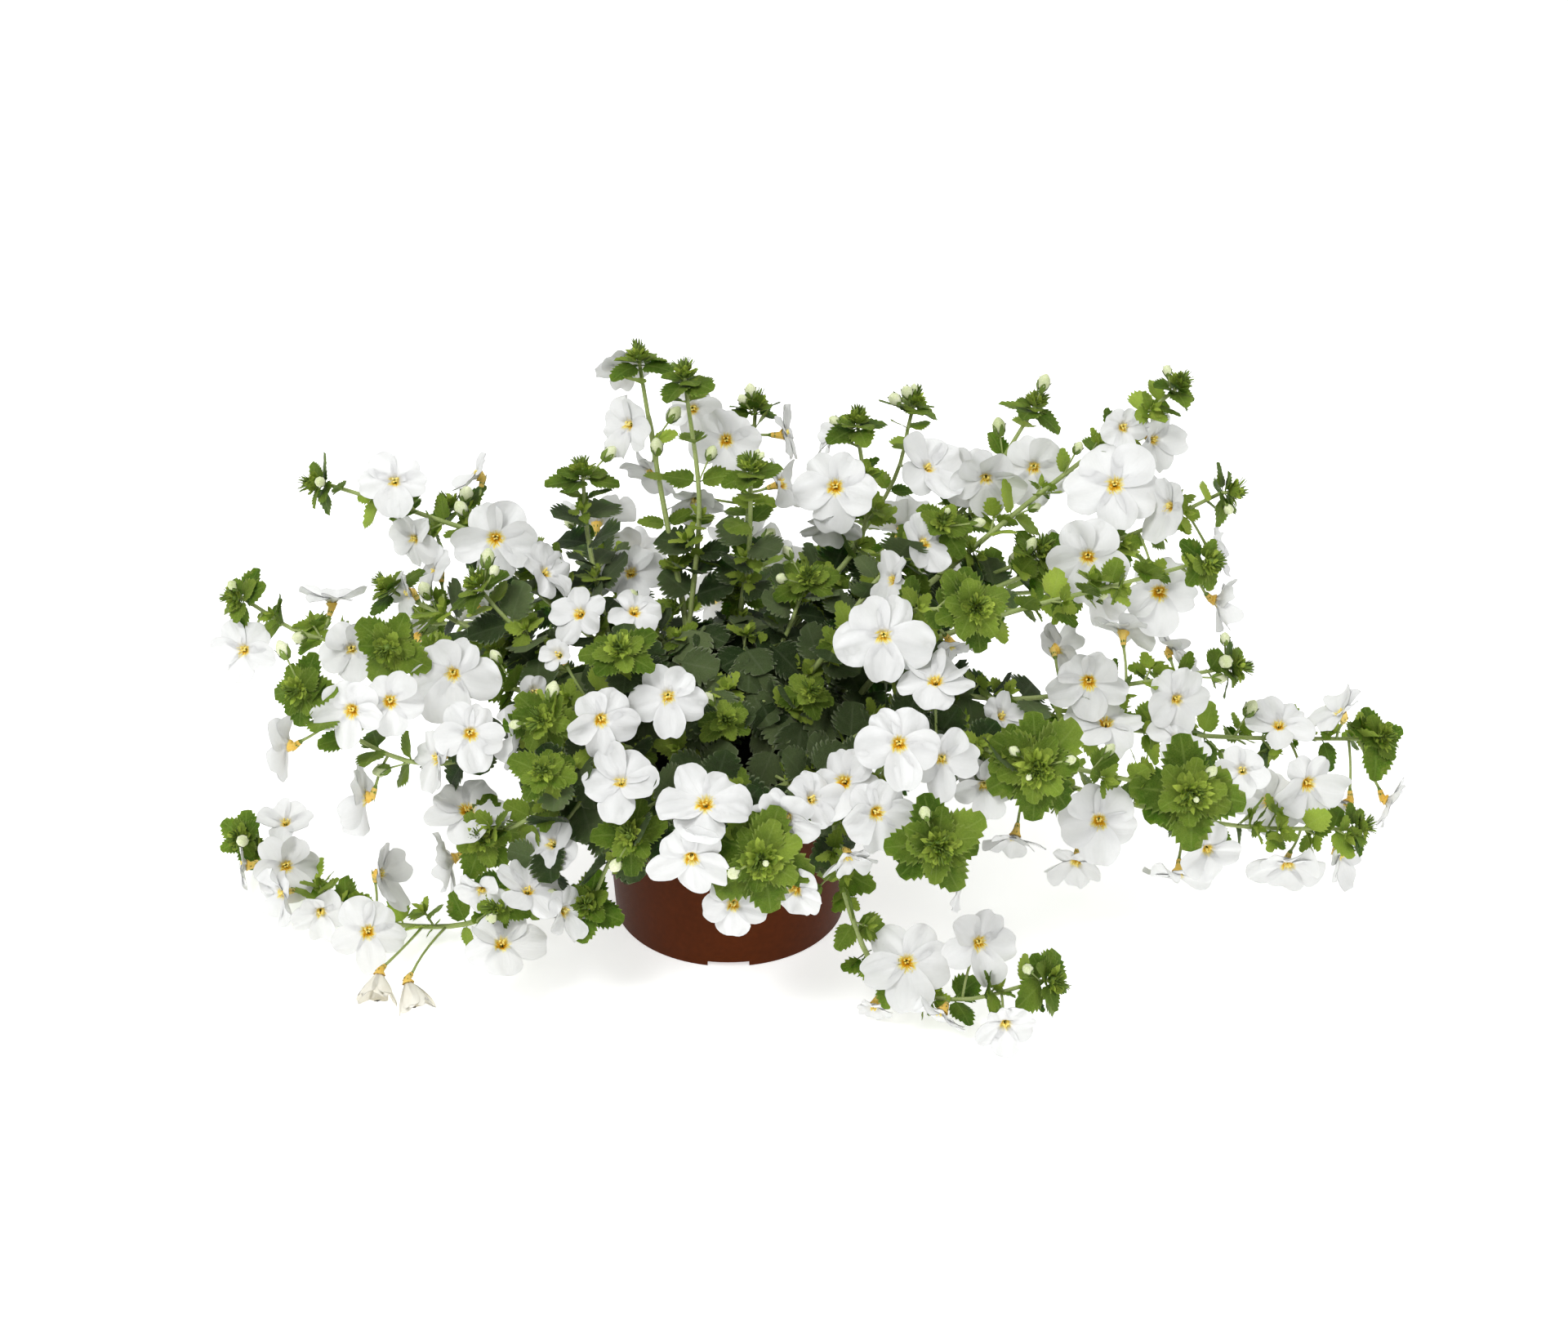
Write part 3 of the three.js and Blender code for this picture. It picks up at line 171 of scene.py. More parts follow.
# Leafy stems: root in the soil, fork above it and shoots. A shoot is its rosette (across, turn,
# rise) and the points of its route.
PLAIN = (ROSETTE_ACROSS, None, None)
STEMS = {
    "upright_left": [(-14, 18), (-16, 26, 108),
        [PLAIN, (-26, 48, 158), (-34, 70, 200)], [PLAIN, (-11, 36, 158), (-16, 50, 202)]],
    "upright_back": [(2, 24), (4, 30, 110),
        [PLAIN, (8, 58, 150), (10, 85, 172)], [PLAIN, (8, 24, 145), (9, 20, 178)]],
    "upright_right": [(14, 20), (24, 30, 108),
        [PLAIN, (52, 50, 138), (50, 60, 178)], [PLAIN, (62, 80, 140), (72, 95, 169)]],
    "right_back": [(26, 16), (44, 34, 106),
        [PLAIN, (95, 74, 140), (119, 90, 171)], [PLAIN, (92, 46, 118), (118, 42, 132)]],
    "right_high": [(36, 8), (58, 22, 110),
        [PLAIN, (98, 48, 136), (134, 64, 160), (172, 75, 187)],
        [(25, 95, 0), (112, 40, 124), (160, 46, 142), (190, 50, 156)]],
    "right_mid": [(38, -3), (60, 6, 104),
        [(26, 50, 20), (100, 8, 124), (150, 14, 136), (180, 20, 142)],
        [(25, 80, 10), (104, -8, 98), (150, 2, 98), (191, 10, 101)]],
    "right_far": [(36, -14), (64, -10, 96),
        [(28, 40, 30), (120, 6, 80), (190, 24, 62), (256, 35, 54)],
        [(22, 90, 10), (120, -16, 68), (190, -8, 42), (243, 0, 34)]],
    "right_front": [(30, -22), (60, -30, 98),
        [(38, 5, 30), (120, -38, 88), (172, -46, 80)],
        [(38, 0, 30), (90, -52, 104), (113, -66, 104)]],
    "front_right": [(22, -30), (42, -46, 92),
        [(36, 10, 20), (62, -72, 92), (76, -91, 87)]],
    "crown_right": [(18, -6), (34, -6, 112),
        [(30, 20, 30), (62, -18, 140), (90, -31, 150)],
        [(24, 20, 50), (58, 16, 138), (81, 30, 152)]],
    "trail_right": [(14, -34), (36, -58, 92),
        [(28, 60, 20), (44, -72, 52), (58, -82, 22), (86, -86, 14), (117, -88, 24)]],
    "front": [(-4, -32), (-6, -54, 92),
        [(37, 0, 25), (8, -78, 91), (13, -96, 84)], [(26, -10, 40), (-26, -66, 88), (-34, -78, 81)],
        [(24, -20, 40), (-36, -66, 74), (-51, -72, 46)]],
    "left_front": [(-24, -26), (-42, -42, 98),
        [(28, -5, 30), (-68, -52, 76), (-91, -53, 64)],
        [(24, -5, 50), (-56, -60, 98), (-66, -72, 104)],
        [(20, -30, 20), (-64, -60, 68), (-84, -62, 40)]],
    "crown_left": [(-20, -12), (-32, -20, 110),
        [(27, -10, 30), (-52, -42, 116), (-66, -56, 117)],
        [(26, -10, 60), (-36, -34, 128), (-38, -46, 139)]],
    "left_low": [(-32, -14), (-58, -24, 102),
        [(28, -10, 20), (-96, -20, 116), (-125, -20, 128)],
        [(27, -30, 30), (-104, -38, 88), (-134, -38, 96), (-156, -38, 119)]],
    "left_mid": [(-38, -2), (-64, -2, 106),
        [(25, -60, 30), (-120, 2, 112), (-160, 6, 118), (-183, 10, 131)],
        [PLAIN, (-100, 16, 116), (-128, 28, 124)], [PLAIN, (-82, -2, 128), (-92, 0, 140)]],
    "left_high": [(-30, 12), (-52, 24, 112),
        [(25, -80, 10), (-80, 38, 136), (-116, 46, 148), (-155, 50, 160)],
        [PLAIN, (-86, 46, 126), (-106, 60, 142)], [PLAIN, (-54, 42, 138), (-56, 50, 161)]],
    "trail_left": [(-34, -24), (-56, -38, 94),
        [(25, -30, 40), (-74, -38, 50), (-92, -36, 18), (-122, -29, 8), (-152, -17, 8),
        (-172, 4, 9), (-193, 20, 16)]],
    "back_left": [(-20, 34), (-42, 60, 102),
        [(28, -130, 20), (-85, 86, 80), (-123, 100, 70)],
        [(28, 180, 20), (-52, 98, 98), (-60, 128, 92)]],
    "back": [(6, 38), (10, 66, 92),
        [(28, 180, 15), (12, 105, 92), (12, 136, 76)],
        [(26, 160, 20), (42, 100, 98), (76, 128, 90)]],
    "back_right": [(26, 30), (50, 52, 104),
        [(28, 130, 20), (100, 80, 94), (141, 104, 84)]],
    "heart": [(-4, 4), (-4, 6, 92),
        [(22, -60, 60), (-18, 12, 104), (-32, 18, 116)], [(22, 0, 60), (-2, 22, 106), (4, 38, 117)],
        [(23, 10, 60), (16, 8, 106), (30, 18, 134)], [(20, 0, 50), (0, -16, 98), (0, -36, 104)],
        [(20, 20, 50), (14, -10, 98), (30, -22, 108)]],
}

# Blooms: (x, y, z, turn, rise, across)
BLOOMS = [
    # left
    [-128, 45, 164, 0, 35, 26], [-89, 30, 147, -5, 25, 33], [-99, 65, 157, -100, 30, 19],
    [-122, 40, 141, -30, 10, 24], [-114, 30, 132, -80, 10, 25], [-124, 25, 125, -50, 0, 19],
    [-151, 15, 129, 180, 60, 24], [-184, 0, 115, -15, 25, 25], [-141, -12, 122, 5, 20, 23],
    [-138, -45, 115, -15, 20, 26], [-124, -40, 116, 10, 25, 24],
    [-165, -35, 94, -110, 0, 26], [-102, -25, 119, 0, 20, 33], [-94, -50, 108, 20, 20, 26],
    [-108, -48, 96, -60, 10, 25], [-136, -45, 77, -95, -10, 27], [-97, -48, 74, 0, 60, 30],
    [-105, -48, 51, -70, -15, 24], [-69, 20, 138, 60, 50, 24],
    [-71, -32, 115, 20, 30, 14], [-77, -50, 108, -85, 0, 24], [-62, -35, 133, -20, 40, 12],
    [-56, 0, 131, -30, 50, 22], [-45, -60, 120, 10, 20, 26],
    # left, low and on the ground
    [-65, -62, 68, -50, 45, 26], [-73, -68, 52, 20, 70, 27], [-92, -62, 46, -20, -5, 20],
    [-84, -72, 30, 0, 60, 30], [-59, -78, 48, 40, 15, 20], [-133, -25, 30, 80, 10, 27],
    [-174, -5, 20, 15, 30, 28], [-176, 14, 29, -20, 65, 23], [-193, 5, 14, -80, 10, 18],
    [-175, -16, 13, -50, 5, 24], [-158, -28, 12, 10, 0, 21], [-138, -44, 16, 10, 35, 28],
    [-132, -66, 9, -10, -40, 14], [-120, -70, 8, 20, -40, 13],
    # upright shoots at the back
    [-41, 80, 195, -170, 20, 21], [-39, 59, 181, -40, 10, 27], [-31, 65, 157, -40, -15, 24],
    [-14, 73, 181, 10, 30, 21], [-1, 60, 174, 0, 30, 27],
    [23, 78, 168, 80, 20, 22], [-13, 50, 152, -10, -15, 21], [21, 55, 158, 70, 30, 23],
    [41, 40, 164, 0, 25, 31], [39, 46, 143, 10, -25, 23], [40, 68, 172, -80, 30, 17],
    [-38, 40, 127, 0, 55, 25], [-35, 2, 131, 20, 60, 21], [75, 30, 145, 50, 40, 24],
    [78, 65, 160, 60, 50, 29], [92, 72, 153, -20, 40, 23], [100, 60, 157, 0, 5, 28],
    # front
    [-21, -50, 124, 5, 30, 27], [-38, -70, 100, -10, 60, 29],
    [-7, -85, 100, 10, 62, 33], [-12, -97, 84, -10, -5, 29], [3, -97, 64, 0, 15, 23],
    [22, -87, 95, -20, 0, 25], [32, -82, 100, 40, 40, 23], [25, -98, 71, -30, -10, 25],
    [43, -75, 103, -20, 40, 27], [55, -80, 93, 20, 20, 29],
    [45, -86, 76, 10, -25, 20], [63, -70, 116, 0, 25, 29], [79, -68, 108, 15, 15, 25],
    [95, -62, 93, 10, 15, 23], [58, -35, 141, 0, 30, 34], [61, -5, 148, -70, 30, 24],
    [77, -45, 128, 10, 68, 29], [84, -20, 127, 30, -45, 18],
    [86, -88, 65, 70, -15, 18],
    # right
    [119, 70, 157, -10, 20, 28], [149, 50, 160, 0, 30, 37], [153, 65, 177, 10, 25, 18],
    [166, 70, 169, 40, 20, 24], [138, 30, 139, -10, 20, 31], [165, 20, 129, 5, 25, 29],
    [169, 55, 147, -60, 10, 25], [190, 42, 135, 80, 20, 20], [189, 25, 122, 80, -15, 21],
    [172, 20, 105, 110, 45, 25], [137, 0, 101, -10, 20, 29], [128, 18, 106, 120, 10, 24],
    [152, 18, 114, 170, 30, 26], [172, 0, 93, 10, 15, 26], [144, -10, 89, 0, 72, 30],
    [172, -10, 82, 60, 60, 24], [104, -20, 98, 60, 40, 18], [139, -50, 70, 0, 20, 31],
    [132, -40, 44, -10, -20, 22], [108, -45, 58, -20, -45, 22],
    [183, -35, 47, 20, 10, 26], [172, -32, 33, -20, -45, 26],
    # far right
    [195, -25, 77, -10, 40, 21], [215, 20, 70, 0, 68, 26], [239, 25, 73, -120, 45, 23],
    [226, 5, 52, 20, 15, 29], [211, 8, 42, -30, 30, 27], [262, 20, 34, 70, -15, 23],
    [244, 18, 33, -40, -35, 17], [219, -5, 20, 0, -25, 30], [241, 0, 21, 50, -10, 23],
    # right, low and on the ground
    [67, -78, 26, 10, 35, 33], [94, -79, 35, 15, 30, 30], [79, -96, 14, -40, -30, 23],
    [103, -104, 14, 10, -5, 24], [55, -84, 8, -20, -35, 13],
    # back
    [-105, 88, 88, -150, 20, 26], [-132, 108, 60, -140, 0, 25], [-95, 105, 70, 170, 10, 27],
    [-55, 112, 112, 180, 35, 28], [-40, 125, 90, 170, 10, 25],
    [5, 120, 98, 180, 35, 29], [25, 136, 78, 165, 5, 26], [-8, 138, 62, -175, -10, 25],
    [70, 115, 108, 175, 35, 28], [90, 128, 78, 160, 5, 26],
    [130, 95, 104, 150, 35, 28], [152, 110, 78, 140, 0, 26],
]


# Rules shared with the solids


def seeded(state):
    while True:
        state = (state * 1664525 + 1013904223) % 4294967296
        yield state / 4294967296


def direction(turn, rise):
    t, r = radians(turn), radians(rise)
    return Vector((sin(t) * cos(r), -cos(t) * cos(r), sin(r)))


def sideways(normal):
    return Vector((0, -1, 0)) if abs(normal.z) > 0.95 else UP


def square_to(normal, axis):
    """The normal, leant until it stands square on the axis."""
    return (normal - axis * normal.dot(axis)).normalized()


def placement(bloom, normal):
    """Axes at a bloom, with local Z along the normal and local Y as near as it can be to up."""
    x = sideways(bloom.normal).cross(normal).normalized()
    matrix = Matrix((x, normal.cross(x), normal)).transposed().to_4x4()
    matrix.translation = bloom.place
    return matrix


class Route:
    """A smooth curve through points, measured by its length."""

    PARTS = 200

    def __init__(self, points):
        self.points = [Vector(point) for point in points]
        self.reach = [0.0]
        last = self.at(0)
        for i in range(1, self.PARTS + 1):
            here = self.at(i / self.PARTS)
            self.reach.append(self.reach[-1] + (here - last).length)
            last = here
        self.length = self.reach[-1]
        self.steps = int(self.length / STEM_STEP + 0.5)

    def at(self, t):
        points = self.points
        place = (len(points) - 1) * t
        i = min(int(place), len(points) - 2)
        w = place - i
        p1, p2 = points[i], points[i + 1]
        p0 = points[i - 1] if i else points[0] * 2 - points[1]
        p3 = points[i + 2] if i + 2 < len(points) else points[-1] * 2 - points[-2]
        t0, t1 = (p2 - p0) * 0.5, (p3 - p1) * 0.5
        c2 = p2 * 3 - p1 * 3 - t0 * 2 - t1
        c3 = p1 * 2 - p2 * 2 + t0 + t1
        return p1 + t0 * w + c2 * w * w + c3 * w * w * w

    def share(self, part):
        target = min(max(part, 0), 1) * self.length
        low = bisect_right(self.reach, target, 0, self.PARTS) - 1
        span = self.reach[low + 1] - self.reach[low]
        return (low + (target - self.reach[low]) / span) / self.PARTS

    def along(self, part):
        return self.at(self.share(part))

    def tangent(self, part):
        t = self.share(part)
        return (self.at(min(t + 1e-3, 1)) - self.at(max(t - 1e-3, 0))).normalized()

    def chord(self, part):
        """The point at that part of the solid tube, which is straight between its steps."""
        reach = part * self.steps
        before = min(int(reach), self.steps - 1)
        a, b = self.along(before / self.steps), self.along((before + 1) / self.steps)
        return a.lerp(b, reach - before)


def shoot_routes(root, fork, shoots):
    first, *others = [route for _, *route in shoots]
    main = Route([(*root, SOIL_TOP + 3), fork, *first])
    stops = [main.along(i / main.steps) for i in range(main.steps + 1)]
    joint = min(stops, key=lambda stop: (stop - Vector(fork)).length)
    return [main] + [Route([joint, *route]) for route in others]


def shift(bloom, push):
    wanted = min(max(bloom.shift + push, -MOST_SHIFT), MOST_SHIFT)
    bloom.place += GIVE_WAY * (wanted - bloom.shift)
    bloom.shift = wanted


def ease_blooms(blooms, seats):
    """Blooms give way to each other and to the stems, and stay off the ground."""
    for _ in range(EASE_ROUNDS):
        for i, bloom in enumerate(blooms):
            for other in blooms[:i]:
                offset = bloom.place - other.place
                short = CROWDING * (bloom.across + other.across) - offset.length
                if short > 0:
                    push = short / 2 if offset.dot(GIVE_WAY) >= 0 else -short / 2
                    shift(bloom, push)
                    shift(other, -push)
            facing = GIVE_WAY.dot(bloom.normal)
            for seat in seats if abs(facing) > LEAST_FACING else ():
                offset = seat.place - bloom.place
                height = offset.dot(bloom.normal)
                out = (offset - bloom.normal * height).length
                if abs(height) < STEM_CLEAR and out < bloom.across / 2:
                    shift(bloom, (height + STEM_CLEAR) / facing)
    for bloom in blooms:
        up = bloom.normal.z
        rim = bloom.across / 2 * sqrt(max(0, 1 - up * up)) + LOBE_LIFT * bloom.across
        tube = (THROAT_DEPTH + TUBE_LENGTH) * max(0, up)
        bloom.place.z = max(bloom.place.z, rim + GROUND_CLEAR, tube + GROUND_CLEAR)


def seat_of(bloom, seats):
    base = bloom.place - bloom.normal * (THROAT_DEPTH + TUBE_LENGTH)

    def cost(seat):
        away = (seat.place - base).length
        behind = (seat.place - bloom.place).dot(bloom.normal) < -SEAT_BEHIND
        return away + (0 if behind else FRONT_COST) + max(0, LEAST_STALK - away) * 4

    return min(seats, key=cost)


def leaf_places(stem, route, rand):
    spacing, full, first = LEAF_SPACING, LEAF_LENGTH, BARE_LENGTH
    if stem.old:
        spacing, full, first = OLD_LEAF_SPACING, OLD_LEAF_LENGTH, OLD_BARE_LENGTH
    turn = next(rand) * pi
    along = route.length - TIP_LENGTH
    while along > first:
        part = along / route.length
        for tangent, out in pair_ways(route, part, turn):
            size = full * (1 - 0.3 * part) * (0.85 + 0.35 * next(rand))
            yield SimpleNamespace(part=part, tangent=tangent, out=out, size=size, route=route)
        turn += pi / 2
        along -= spacing * (0.85 + 0.3 * next(rand))


def pair_ways(route, part, turn):
    """The route's line, and the two ways out from it for a pair of leaves."""
    tangent = route.tangent(part)
    side = tangent.cross(sideways(tangent)).normalized()
    for half in (0, pi):
        yield tangent, Quaternion(tangent, turn + half) @ side


def leaf_axes(tangent, out, swing, fold):
    axis = (Quaternion(tangent, swing) @ out + tangent * fold).normalized()
    return axis, square_to(tangent + Vector((0, 0, 0.8)), axis)


def loose(*spans):
    """A vector by chance, within these spans or within 1 on each side."""
    return Vector([uniform(*span) for span in spans or ((-1, 1),) * 3])


def around(angle, radius=1, height=0):
    return Vector((radius * cos(angle), radius * sin(angle), height))


# Meshes


def make_object(name, points, faces, smooth=True):
    mesh = bpy.data.meshes.new(name)
    mesh.from_pydata(points, [], faces)
    mesh.polygons.foreach_set("use_smooth", [smooth] * len(mesh.polygons))
    made = bpy.data.objects.new(name, mesh)
    bpy.context.scene.collection.objects.link(made)
    return made


def dress(piece, node):
    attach(piece, "root")
    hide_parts(node)


class Growth:
    """Points, faces, blade coordinates and finishes of one piece, in millimetres."""

    def __init__(self):
        self.points, self.marks, self.faces, self.finishes = [], [], [], []

    def face(self, corners, finish, flip=False):
        self.faces.append(corners[::-1] if flip else corners)
        self.finishes.append(FINISHES.index(finish))

    def sheet(self, rows, finish, closed=False, flip=False):
        """Faces over rows of (point, mark)."""
        first, width = len(self.points), len(rows[0])
        for row in rows:
            self.points += [point for point, _ in row]
            self.marks += [mark for _, mark in row]
        for i in range(len(rows) - 1):
            for j in range(width if closed else width - 1):
                a, b = first + i * width + j, first + i * width + (j + 1) % width
                self.face((a, b, b + width, a + width), finish, flip)

    def blade(self, rows, finish, kept, flip=False):
        """Two sheets over rows of (upper point, lower point, mark): the lower has kept columns."""
        self.sheet([[(spot[0], spot[2]) for spot in row] for row in rows], finish, flip=flip)
        self.sheet([[row[k][1:] for k in kept] for row in rows], finish, flip=not flip)

    def tube(self, centres, radii, finish="stem", sides=6, capped=True):
        """A round tube through centres; its mark runs round it and along it."""
        rows, side = [], None
        last = len(centres) - 1
        for i, centre in enumerate(centres):
            line = (centres[min(i + 1, last)] - centres[max(i - 1, 0)]).normalized()
            if side is None:
                side = line.orthogonal().normalized()
            side = square_to(side, line)
            other = line.cross(side)
            rows.append([])
            for k in range(sides):
                angle = tau * k / sides
                spot = centre + (side * cos(angle) + other * sin(angle)) * radii[i]
                rows[-1].append((spot, (k / sides, i / last)))
        self.sheet(rows, finish, closed=True)
        for ring, flip in ((0, True), (last, False)) if capped else ():
            start = len(self.points) - (len(rows) - ring) * sides
            self.face(tuple(range(start, start + sides)), finish, flip)

    def blob(self, centre, axis, length, radius, finish, sides, rings):
        """A rounded bud along its axis."""
        parts = [i / rings for i in range(rings + 1)]
        centres = [centre + axis * length * (t - 0.5) for t in parts]
        radii = [max(0.04, radius * sin(pi * min(max(t, 0.03), 0.97)) ** 0.6) for t in parts]
        self.tube(centres, radii, finish, sides)

    def spike(self, base, tip, radius):
        line = (tip - base).normalized()
        side = line.orthogonal().normalized() * radius
        first = len(self.points)
        self.points += [base + Quaternion(line, tau * k / 3) @ side for k in range(3)] + [tip]
        self.marks += [(0, 0)] * 4
        for k in range(3):
            self.face((first + k, first + (k + 1) % 3, first + 3), "hair")

    def piece(self, name, node, slot):
        made = make_object(name, [tuple(point * MM) for point in self.points], self.faces)
        mesh = made.data
        for finish in FINISHES:
            mesh.materials.append(MATERIALS[finish])
        mesh.polygons.foreach_set("material_index", self.finishes)
        corners = [0] * len(mesh.loops)
        mesh.loops.foreach_get("vertex_index", corners)
        flat = [part for corner in corners for part in self.marks[corner]]
        mesh.uv_layers.new(name="blade").data.foreach_set("uv", flat)
        mesh.update()
        dress(made, node)


# Leaves


def leaf_rows(cut):
    """Places along a leaf: part of its length, its smooth and its toothed half width, and lean."""

    def half(t):
        return sin(pi * min(max(t, 0.02), 0.985) ** cut.peak) ** cut.round

    if not cut.teeth:
        plain = [(0, 0.12)] + [(s, half(s)) for s in (0.28, 0.52, 0.78)] + [(1, 0.03)]
        return [(s, width, width, 0) for s, width in plain]
    rows = [(0, 0.07, 0.07, 0), (PETIOLE, 0.065, 0.065, 0)]
    rows.append((PETIOLE + 0.05, 0.8 * half(0.1), 0.8 * half(0.1), 0))
    first, last = 0.24, 0.95
    for i in range(cut.teeth):
        for t, crest, lean in cut.tooth:
            s = first + (last - first) * (i + t) / cut.teeth
            smooth = half((s - PETIOLE) / (1 - PETIOLE))
            rows.append((s, smooth, smooth * (1.01 - cut.depth * (1 - crest)), lean))
    return rows + [(0.985, 0.2, 0.2, 0), (1, 0.03, 0.03, 0)]


ROWS = {cut: leaf_rows(cut) for cut in (YOUNG, OLD, SMALL, BRACT)}


def leaf(growth, origin, axis, normal, length, cut, droop=LEAF_DROOP, tint=None):
    """A toothed blade: the whole number in its marks is its tint, from dark to light."""
    side = axis.cross(normal).normalized()
    half_width = cut.width * length / 2
    tint = rng.randrange(TINTS) if tint is None else min(max(round(tint), 0), TINTS - 1)
    fold, arch = uniform(0.02, 0.3), uniform(0, 0.24)
    twist, bend = uniform(-0.14, 0.14), uniform(-0.08, 0.08)
    wave = uniform(0, tau)
    columns, rows = cut.columns, []
    for s, smooth, toothed, lean in ROWS[cut]:
        rows.append([])
        for k in range(columns):
            share = 2 * k / (columns - 1) - 1
            reach = toothed if abs(share) > 0.99 else smooth
            across = abs(share) * reach
            width = share * reach * half_width
            rise = 0.02 + 0.5 * fold * across - 0.5 * arch * across * across - droop * s * s
            rise += 0.03 * across * sin(wave + 9 * s + 2 * share) + twist * share * reach * s * 0.5
            forward = s + lean * abs(share) ** 3
            spot = origin + axis * forward * length + side * (width + bend * length * s * s)
            thick = 0.012 * length * (1 - abs(share)) + 0.05
            rows[-1].append((spot + normal * rise * length,
                             spot + normal * (rise * length - thick),
                             (tint + 0.5 + 0.48 * share, s)))
    growth.blade(rows, "old" if cut is OLD else "young", (0, columns // 2, -1))


def turned_out(line, x, angle, lean, roll):
    """The way out, the line and the face of a leaf that leans out from a shoot's own line."""
    out = Quaternion(line, angle) @ x
    axis = (out * sin(lean) + line * cos(lean)).normalized()
    face = (line * sin(lean) - out * cos(lean)).normalized()
    return out, axis, Quaternion(axis, roll) @ face


def whorl(line, x, angle, lean):
    """Both leaves of a crosswise pair, as turned_out gives them."""
    for half in (0, pi):
        spin = angle + half + uniform(-0.3, 0.3)
        tilt = radians(lean + uniform(-12, 12))
        yield turned_out(line, x, spin, tilt, uniform(-0.4, 0.4))


def rosette(growth, centre, normal, across):
    """Crosswise pairs of young leaves, dark and broad outside, round a knot of bracts and buds."""
    x = sideways(normal).cross(normal).normalized()
    turn = uniform(0, tau)
    large = across >= LARGE_ROSETTE
    pair = 0
    for pairs, lean, part, tint, cut in ROSETTE_TIERS:
        for _ in range(pairs + (large and lean > 60)):
            for out, axis, face in whorl(normal, x, turn + pair * 1.95, lean):
                face = square_to(face + SUNWARD * (0.75 * lean / 90), axis)
                length = part * across * uniform(0.85, 1.12)
                base = centre - normal * (4.5 * lean / 90 - 1) + out * 0.5
                droop = uniform(0.06, 0.3) if lean > 60 else uniform(-0.04, 0.12)
                leaf(growth, base, axis, face, length, cut, droop, tint + uniform(-1.4, 1.4))
            pair += 1
    heart = centre + normal * across * 0.03
    growth.blob(heart, normal, across * 0.16, across * 0.075, "calyx", sides=7, rings=4)
    for _ in range(64 if large else 36):
        spread = rng.random() ** 0.6
        lean = 1.2 * spread + uniform(-0.2, 0.2)
        out, axis, face = turned_out(normal, x, uniform(0, tau), lean, uniform(-0.8, 0.8))
        length = across * uniform(0.08, 0.16)
        base = heart + out * across * 0.1 * spread + normal * across * 0.05 * (1 - spread)
        cut = BRACT if rng.random() < 0.8 else SMALL
        leaf(growth, base, axis, face, length, cut, uniform(-0.1, 0.15), uniform(5, 9.4))
    for _ in range(10 if large else 6):
        _, axis, _ = turned_out(normal, x, uniform(0, tau), uniform(0.1, 0.9), 0)
        stalk = across * uniform(0.1, 0.2)
        if rng.random() < 0.04:
            bud(growth, heart, axis, stalk, uniform(3, 4.4), 0.34)
        else:
            sepals(growth, heart + axis * stalk * 0.6, axis, uniform(3, 4.6), 0.8, number=4)


def stalked_bud(growth, origin, axis):
    """A plump pale bud on a stalk of its own, a bloom to come."""
    stalk, length = uniform(7, 13), uniform(5, 7.5)
    line = (axis + UP * uniform(0, 0.6)).normalized()
    tip = origin + line * (stalk + length)
    spots = [origin + line * (stalk + part * length) for part in (0, 0.5, 1)]
    if all(map(clear_of_blooms, spots)) and clear_of_pot(tip) and tip.z < PLANT_TOP:
        bud(growth, origin, line, stalk, length, 0.37)


def side_shoot(growth, origin, axis, size):
    """A short shoot from a leaf's corner: crosswise pairs of small leaves on a stub of stem."""
    tip = origin + axis * size * 0.45
    if not (clear_of_blooms(tip) and clear_of_pot(tip)):
        return False
    growth.tube([origin, tip], [0.5, 0.4], sides=5, capped=False)
    x = axis.orthogonal().normalized()
    turn = uniform(0, tau)
    for pair, (lean, part) in enumerate(SHOOT_PAIRS):
        for _, line, face in whorl(axis, x, turn + pair * 1.6, lean):
            base = tip - axis * (1.6 - 0.5 * pair)
            length, tint = size * part * uniform(0.8, 1.1), 3 + pair * 1.5 + uniform(-2, 2)
            try_leaf(growth, base, line, face, length, SMALL if pair < 2 else BRACT, tint=tint)
    return True


def bud(growth, base, axis, stalk, length, plump):
    """A bud on its own short stalk, its green calyx round the lower half."""
    top = base + axis * stalk
    growth.tube([base, base.lerp(top, 0.5), top], [0.35, 0.32, 0.4], sides=5, capped=False)
    growth.blob(top + axis * length * 0.55, axis, length, length * plump, "bud", 8, 6)
    sepals(growth, top, axis, length * 0.7, length * plump * 0.85)


def sepals(growth, base, axis, length, radius, number=5):
    side = axis.orthogonal().normalized()
    start = uniform(0, tau)
    for k in range(number):
        out = Quaternion(axis, start + tau * k / number) @ side
        rows = []
        for t, reach, width in SEPAL_ROWS:
            middle = base + axis * length * t + out * radius * reach
            half = axis.cross(out) * radius * 0.62 * width
            spots = (middle - half, 0), (middle + out * 0.12, 0.5), (middle + half, 1)
            rows.append([(spot, spot - out * 0.12, (share, t)) for spot, share in spots])
        growth.blade(rows, "calyx", range(3))


def hairs(growth, points, radii, each):
    """Short soft hairs that stand off a stem or a stalk."""
    for a, b, radius in zip(points, points[1:], radii):
        line = (b - a).normalized()
        side = line.orthogonal().normalized()
        wanted = (b - a).length * each
        for _ in range(int(wanted) + (rng.random() < wanted - int(wanted))):
            t = rng.random()
            out = Quaternion(line, uniform(0, tau)) @ side
            base = a.lerp(b, t) + out * radius * 0.8
            tip = base + (out + line * uniform(-0.3, 0.3)) * uniform(0.5, 0.95)
            growth.spike(base, tip, 0.055)


# Blooms


def lobe_width(t):
    """Half width along a lobe, as a part of the widest: a narrow foot and a round end."""
    spread = min(1, t / 0.62)
    spread *= spread * (3 - 2 * spread)
    return (0.3 + 0.7 * spread ** 0.5) * sqrt(max(0, 1 - max(0, (t - 0.42) / 0.58) ** 2.3))


